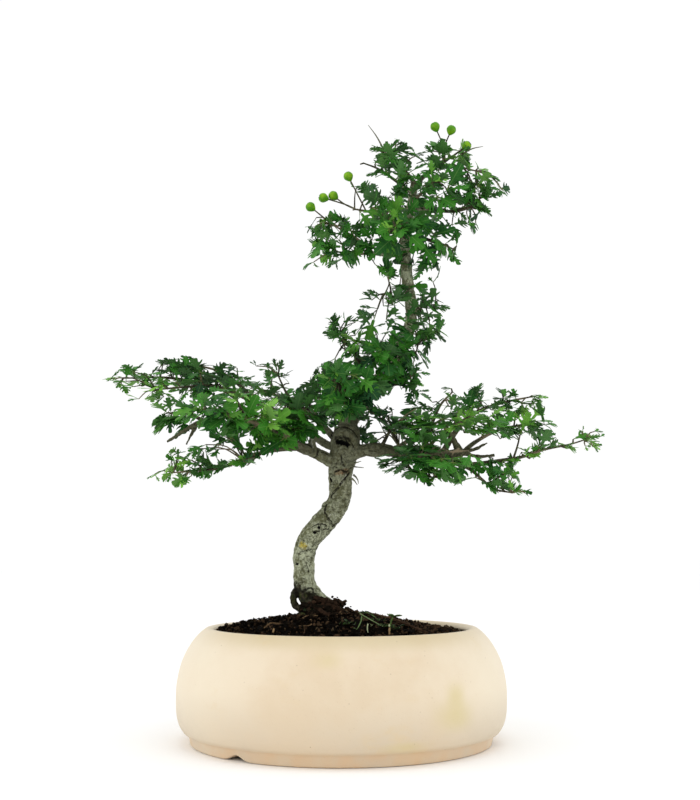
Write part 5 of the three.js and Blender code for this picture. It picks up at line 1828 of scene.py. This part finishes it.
class BONSAI_OT_sprays(bpy.types.Operator):
    """Grows twigs, spurs, thorns and lobed leaves on every branch"""

    bl_idname = "bonsai.sprays"
    bl_label = "Leafy sprays"

    def execute(self, context):
        settings = context.scene.bonsai_foliage
        bark = twig_finish(context.scene.bonsai_tree)
        green = leaf_finish(settings)
        shapes = leaf_shapes()
        every_shape = [shape for bends in shapes.values() for shape in bends]
        for shape in every_shape:
            green.give(shape)
        covered = set()
        sprays = {name: Spray(name, settings, covered) for name in BRANCHES}
        for name, spray in sprays.items():
            *branch, tufts = BRANCHES[name]
            spray.grow(*branch)
            for x, y, z, *leaves in tufts:
                spray.tuft(Vector((x, y, z)), *leaves)
        self.fill(list(sprays.values()), covered, random.Random(settings.seed), settings.fill)
        for name, spray in sprays.items():
            spray.build(name, shapes, bark, green)
        remove(*every_shape)
        return {"FINISHED"}

    @staticmethod
    def fill(sprays, covered, chance, share):
        """Grows a few leaves into most of the bare spots inside the foliage's outlines"""
        spots = [(spot, seen(spot), spray) for spray in sprays for spot in spray.spots]
        corners = [corner for outline in OUTLINES.values() for corner in outline]
        low_x, high_x = (pick(x for x, _ in corners) // CELL for pick in (min, max))
        low_z, high_z = (pick(z for _, z in corners) // CELL for pick in (min, max))
        cells = [(column, row) for column in range(low_x, high_x + 1) for row in range(low_z, high_z + 1)]
        chance.shuffle(cells)
        for column, row in cells:
            x, z = (column + 0.5) * CELL, (row + 0.5) * CELL
            if (column, row) in covered or not in_outlines(x, z):
                continue
            gaps = [math.hypot(shown[0] - x, shown[1] - z) for _, shown, _ in spots]
            gap = min(gaps)
            spot, _, spray = spots[gaps.index(gap)]
            if gap < FILL_REACH and chance.random() < share:
                place = place_seen_at(x, spot.y - chance.uniform(0, 6), z)
                spray.tuft(place, chance.uniform(*FILL_LENGTHS), 2)


def haw_finish(settings):
    """Satiny unripe skin, yellower in patches, with fine pale dots"""
    finish = Finish("haw_skin", roughness=0.34, shine=0.15)
    place = finish.place()
    patch = finish.noise(place, 160, 3, 0.5).step(0.35, 0.7)
    dots = 1 - finish.cells(place, 1300).step(0.08, 0.2)
    finish.colour(settings.skin, (settings.blush, patch), ((0.4, 0.55, 0.1), dots * 0.15))
    return finish


class BONSAI_OT_haws(bpy.types.Operator):
    """Hangs the haws on their stalks, each with its withered calyx"""

    bl_idname = "bonsai.haws"
    bl_label = "Haws"

    def execute(self, context):
        skin = haw_finish(context.scene.bonsai_haws)
        stalk = twig_finish(context.scene.bonsai_tree)
        for name, (branch, share, fruits) in HAWS.items():
            foot = Path(BRANCHES[branch][2]).place(share)
            middle = sum((Vector(fruit) for fruit in fruits), Vector()) / len(fruits)
            fork = foot.lerp(middle, STALK_FORK)
            strands, balls = [], []
            for fruit in fruits:
                end = Vector(fruit)
                stalk_share = 1 - HAW_RADIUS / Path([foot, fork, end]).length
                strands.append(rod([foot, fork, end], *STALK_RADII, 0, stalk_share))
                balls.append(self.haw(end, (end - fork).normalized(), skin))
            piece = tubes(name, strands, 2)
            stalk.give(piece)
            join(piece, *balls)
            smooth(piece, 60)
            finished(piece, f"{name}_fruit", "haw", name)
        return {"FINISHED"}

    @staticmethod
    def haw(middle, axis, skin):
        """One fruit, a little longer than wide, with a dimple and five dry sepals at its far end"""
        bpy.ops.mesh.primitive_uv_sphere_add(segments=28, ring_count=18, radius=HAW_RADIUS * MM)
        haw = bpy.context.object
        for vertex in haw.data.vertices:
            height = vertex.co.z / (HAW_RADIUS * MM)
            dimple = max(0, height - DIMPLE_START) * DIMPLE_DEPTH * HAW_RADIUS * MM
            vertex.co.z = vertex.co.z * HAW_STRETCH - HAW_DROP * MM
            vertex.co.xy *= 1 - HAW_NARROWING * step(0.1, -1, height)
            vertex.co.z -= dimple
        skin.give(haw)
        dry = Finish("dry_sepal", roughness=0.9, colour=(0.03, 0.018, 0.008))
        sepals = []
        first, last = SEPAL_RADII
        for i in range(SEPALS):
            turn = i * 2 * math.pi / SEPALS
            x, y = SEPAL_RING * MM * math.cos(turn), SEPAL_RING * MM * math.sin(turn)
            bpy.ops.mesh.primitive_cone_add(
                vertices=5, radius1=first * MM, radius2=last * MM, depth=SEPAL_LENGTH * MM,
                location=(x, y, HAW_RADIUS * SEPAL_HEIGHT * MM),
                rotation=(0, math.radians(SEPAL_LEAN), turn))
            sepals.append(settle(bpy.context.object))
            dry.give(sepals[-1])
        join(haw, *sepals)
        turn = UP.rotation_difference(axis).to_matrix().to_4x4()
        haw.matrix_world = Matrix.Translation(at(*middle)) @ turn
        return settle(haw)


# The seedling's stem, the size and rise of its leaflets, and the shoots beside it: how light, then points
WEED_STEM = [(35, -58, 78), (35, -58, 90), (37, -59, 97)]
LEAFLET_HALF_LENGTH = 3.6
LEAFLET_HALF_WIDTH = 2.4
LEAFLET_RISE = 0.3
WEED_SHOOTS = [
    (0.75, [(14, -40, 96.5), (20, -50, 94), (26, -58, 91.5), (30, -61, 90)]),
    (0.6, [(15, -42, 95), (14, -56, 91.5), (11, -72, 87)]),
    (0.5, [(18, -38, 98), (21, -41, 97), (25, -45, 95)]),
    (0.9, [(19, -70, 91.5), (18.5, -74, 88.5), (19, -77, 86)]),
]
SHOOT_RADII = (0.5, 0.3)
# Leaflets: the foot, turn and rise in degrees, half length and how light
WEED_LEAVES = [
    ((17, -38, 98), 15, 10, 2.6, 0.15), ((19, -40, 97.5), -50, -10, 2.4, 0.1),
    ((21, -42, 97), -20, 5, 2.2, 0.3), ((14, -40, 97), 150, 20, 1.6, 0.8),
    ((30, -62, 91), 200, 10, 2.4, 0.35), ((31, -63, 90), -20, 20, 2.4, 0.4),
    ((33, -62, 91), -70, 30, 2.2, 0.25), ((36, -64, 91), 30, 15, 2.6, 0.2),
    ((42, -62, 91), 10, 25, 2.8, 0.1), ((40, -64, 90), -60, 10, 2.4, 0.2),
    ((4, -62, 92), 120, 30, 2.4, 0.1), ((6, -62, 91), 20, 20, 2.4, 0.15),
    ((8, -63, 90), -60, 10, 2.2, 0.1), ((11, -72, 88), 200, 10, 1.8, 0.6),
    ((21, -70, 90), 0, 40, 1.6, 0.85), ((22, -70, 90.5), 180, 40, 1.6, 0.85),
    ((34, -74, 91), 90, 60, 1.4, 1),
]


class BONSAI_OT_weeds(bpy.types.Operator):
    """Plants the weed seedling, the shoots beside it and the moss"""

    bl_idname = "bonsai.weeds"
    bl_label = "Weeds"

    def execute(self, context):
        green = Finish("weed_green", roughness=0.55, shine=0.1)
        shade = green.attribute("tint") + (green.noise(green.place(), 300, 3) - 0.5) * 0.3
        green.colour(
            (0.014, 0.03, 0.008),
            ((0.1, 0.17, 0.045), shade.step(0, 0.6)),
            ((0.42, 0.44, 0.28), shade.step(0.6, 1.1)),
        )
        chance = random.Random(context.scene.bonsai_soil.seed)
        leaflet = self.leaflet()
        stem = tubes("weed", [rod(WEED_STEM, 0.8, 0.6)], 2)
        give_tint(stem.data, 0.55)
        rise = math.degrees(LEAFLET_RISE)
        crown = [(WEED_STEM[-1], turn, rise, LEAFLET_HALF_LENGTH, 0.4) for turn in (0, 120, 240)]
        seedling = join(stem, *(self.placed(leaflet, *row) for row in crown))
        shoots = [tinted_rod(tint, points, SHOOT_RADII, 3) for tint, points in WEED_SHOOTS]
        for foot, turn, rise, half_length, tint in WEED_LEAVES:
            shoots.append(self.placed(leaflet, foot, turn, rise, half_length * 0.7, tint))
        for middle, spread, count in MOSS:
            blades = []
            for _ in range(count):
                foot = Vector(middle)
                foot += Vector((chance.gauss(0, 0.6) * spread, chance.gauss(0, 0.6) * spread, -1))
                lean = Vector((chance.uniform(-1, 1), chance.uniform(-1, 1), 1)) * chance.uniform(0.6, 1.3)
                places = (foot, foot + lean, foot + lean * 1.6)
                blades.append([(at(*place), radius * MM) for place, radius in zip(places, MOSS_RADII)])
            shoots.append(tubes("moss", blades, 0))
            give_tint(shoots[-1].data, chance.uniform(0, 0.3))
        wild = join(*shoots)
        remove(leaflet)
        for piece in (seedling, wild):
            piece.data.materials.clear()
            green.give(piece)
            sink_right(piece)
            smooth(piece, 60)
        finished(seedling, "weed", "seedling", "weed_seedling")
        finished(wild, "wild_shoots", "seedling")
        return {"FINISHED"}

    @staticmethod
    def leaflet():
        """A small oval leaf of length 2 with its foot at the origin, creased along its middle and arched"""
        bpy.ops.mesh.primitive_uv_sphere_add(segments=12, ring_count=7, radius=1)
        leaf = named(bpy.context.object, "leaflet")
        for vertex in leaf.data.vertices:
            x, y, z = vertex.co
            rise = z * 0.1 + 0.25 * abs(y) - 0.05 * (x + 1) ** 2
            vertex.co = (x + 1, y * LEAFLET_HALF_WIDTH / LEAFLET_HALF_LENGTH, rise)
        return leaf

    @staticmethod
    def placed(leaflet, foot, turn, rise, half_length, tint):
        """A copy of the leaflet by its foot, its turn and rise in degrees, its half length and its tint"""
        turns = ((math.radians(turn), "Z"), (-math.radians(rise), "Y"))
        return copied(leaflet, placing(foot, half_length * MM, *turns), tint)


# The floor and the soft lights, in metres: the floor's side and gap, and each light's place, side and watts
FLOOR_SIDE = 12
FLOOR_GAP = 0.0002
LAMPS = (
    ("left_box", (-1.4, -0.3, 0.9), 0.9, 2.5),
    ("right_box", (1.4, -0.2, 0.9), 0.9, 1.5),
    ("top_box", (0.1, -0.3, 1.6), 1.2, 3),
)


class BONSAI_OT_stage(bpy.types.Operator):
    """Sets the camera, the pale floor and the soft lights"""

    bl_idname = "bonsai.stage"
    bl_label = "Stage"

    def execute(self, context):
        settings = context.scene.bonsai_stage
        camera = bpy.data.cameras.new("camera")
        camera.lens = settings.lens
        holder = bpy.data.objects.new("camera", camera)
        holder.location = at(0, 0, 0) + Vector(settings.eye)
        holder.rotation_euler = (math.radians(90) + settings.tilt, 0, 0)
        context.scene.collection.objects.link(holder)
        context.scene.camera = holder

        bpy.ops.mesh.primitive_plane_add(size=FLOOR_SIDE, location=(0, 0, -FLOOR_GAP))
        floor = settle(bpy.context.object)
        paper = Finish("floor_paper", roughness=0.9, shine=0.1)
        grain = paper.noise(paper.place(), 30, 3)
        paper.colour((0.985, 0.985, 0.985), ((0.995, 0.995, 0.995), grain))
        paper.give(floor)
        named(floor, "floor")

        world = bpy.data.worlds.new("surround")
        context.scene.world = world
        world.use_nodes = True
        background = world.node_tree.nodes["Background"]
        background.inputs["Color"].default_value = (1, 1, 1, 1)
        background.inputs["Strength"].default_value = settings.surround
        for lamp in LAMPS:
            self.lamp(*lamp)
        context.scene.view_settings.view_transform = "Standard"
        return {"FINISHED"}

    @staticmethod
    def lamp(name, place, size, watts):
        """A square soft light at a place in metres, turned to the tree"""
        light = bpy.data.lights.new(name, "AREA")
        light.shape = "SQUARE"
        light.size = size
        light.energy = watts
        holder = bpy.data.objects.new(name, light)
        holder.location = place
        aim = Vector((0, 0, 0.2)) - holder.location
        holder.rotation_euler = aim.to_track_quat("-Z", "Y").to_euler()
        bpy.context.scene.collection.objects.link(holder)


OPERATORS = (
    BONSAI_OT_stage, BONSAI_OT_pot, BONSAI_OT_drain_screen, BONSAI_OT_soil, BONSAI_OT_litter,
    BONSAI_OT_tree, BONSAI_OT_sprays, BONSAI_OT_haws, BONSAI_OT_weeds,
)
SETTINGS = {
    "bonsai_pot": BonsaiPotSettings,
    "bonsai_soil": BonsaiSoilSettings,
    "bonsai_tree": BonsaiTreeSettings,
    "bonsai_foliage": BonsaiFoliageSettings,
    "bonsai_haws": BonsaiHawSettings,
    "bonsai_stage": BonsaiStageSettings,
}


class BONSAI_PT_panel(bpy.types.Panel):
    """Lists the pieces' operators and their settings in the sidebar"""

    bl_idname = "BONSAI_PT_panel"
    bl_label = "Hawthorn bonsai"
    bl_space_type = "VIEW_3D"
    bl_region_type = "UI"
    bl_category = "Bonsai"

    def draw(self, context):
        for operator in OPERATORS:
            self.layout.operator(operator.bl_idname)
        for name, group in SETTINGS.items():
            box = self.layout.box()
            box.label(text=group.__doc__)
            for setting in group.__annotations__:
                box.prop(getattr(context.scene, name), setting)


CLASSES = (*SETTINGS.values(), *OPERATORS, BONSAI_PT_panel)


def register():
    """Registers the classes and gives the scene their settings"""
    for item in CLASSES:
        bpy.utils.register_class(item)
    for name, group in SETTINGS.items():
        setattr(bpy.types.Scene, name, PointerProperty(type=group))


def unregister():
    """Takes back what register gave"""
    for name in SETTINGS:
        delattr(bpy.types.Scene, name)
    for item in reversed(CLASSES):
        bpy.utils.unregister_class(item)


def main():
    """Registers the classes and builds every piece"""
    register()
    for operator in OPERATORS:
        group, name = operator.bl_idname.split(".")
        getattr(getattr(bpy.ops, group), name)()


if __name__ == "__main__":
    main()
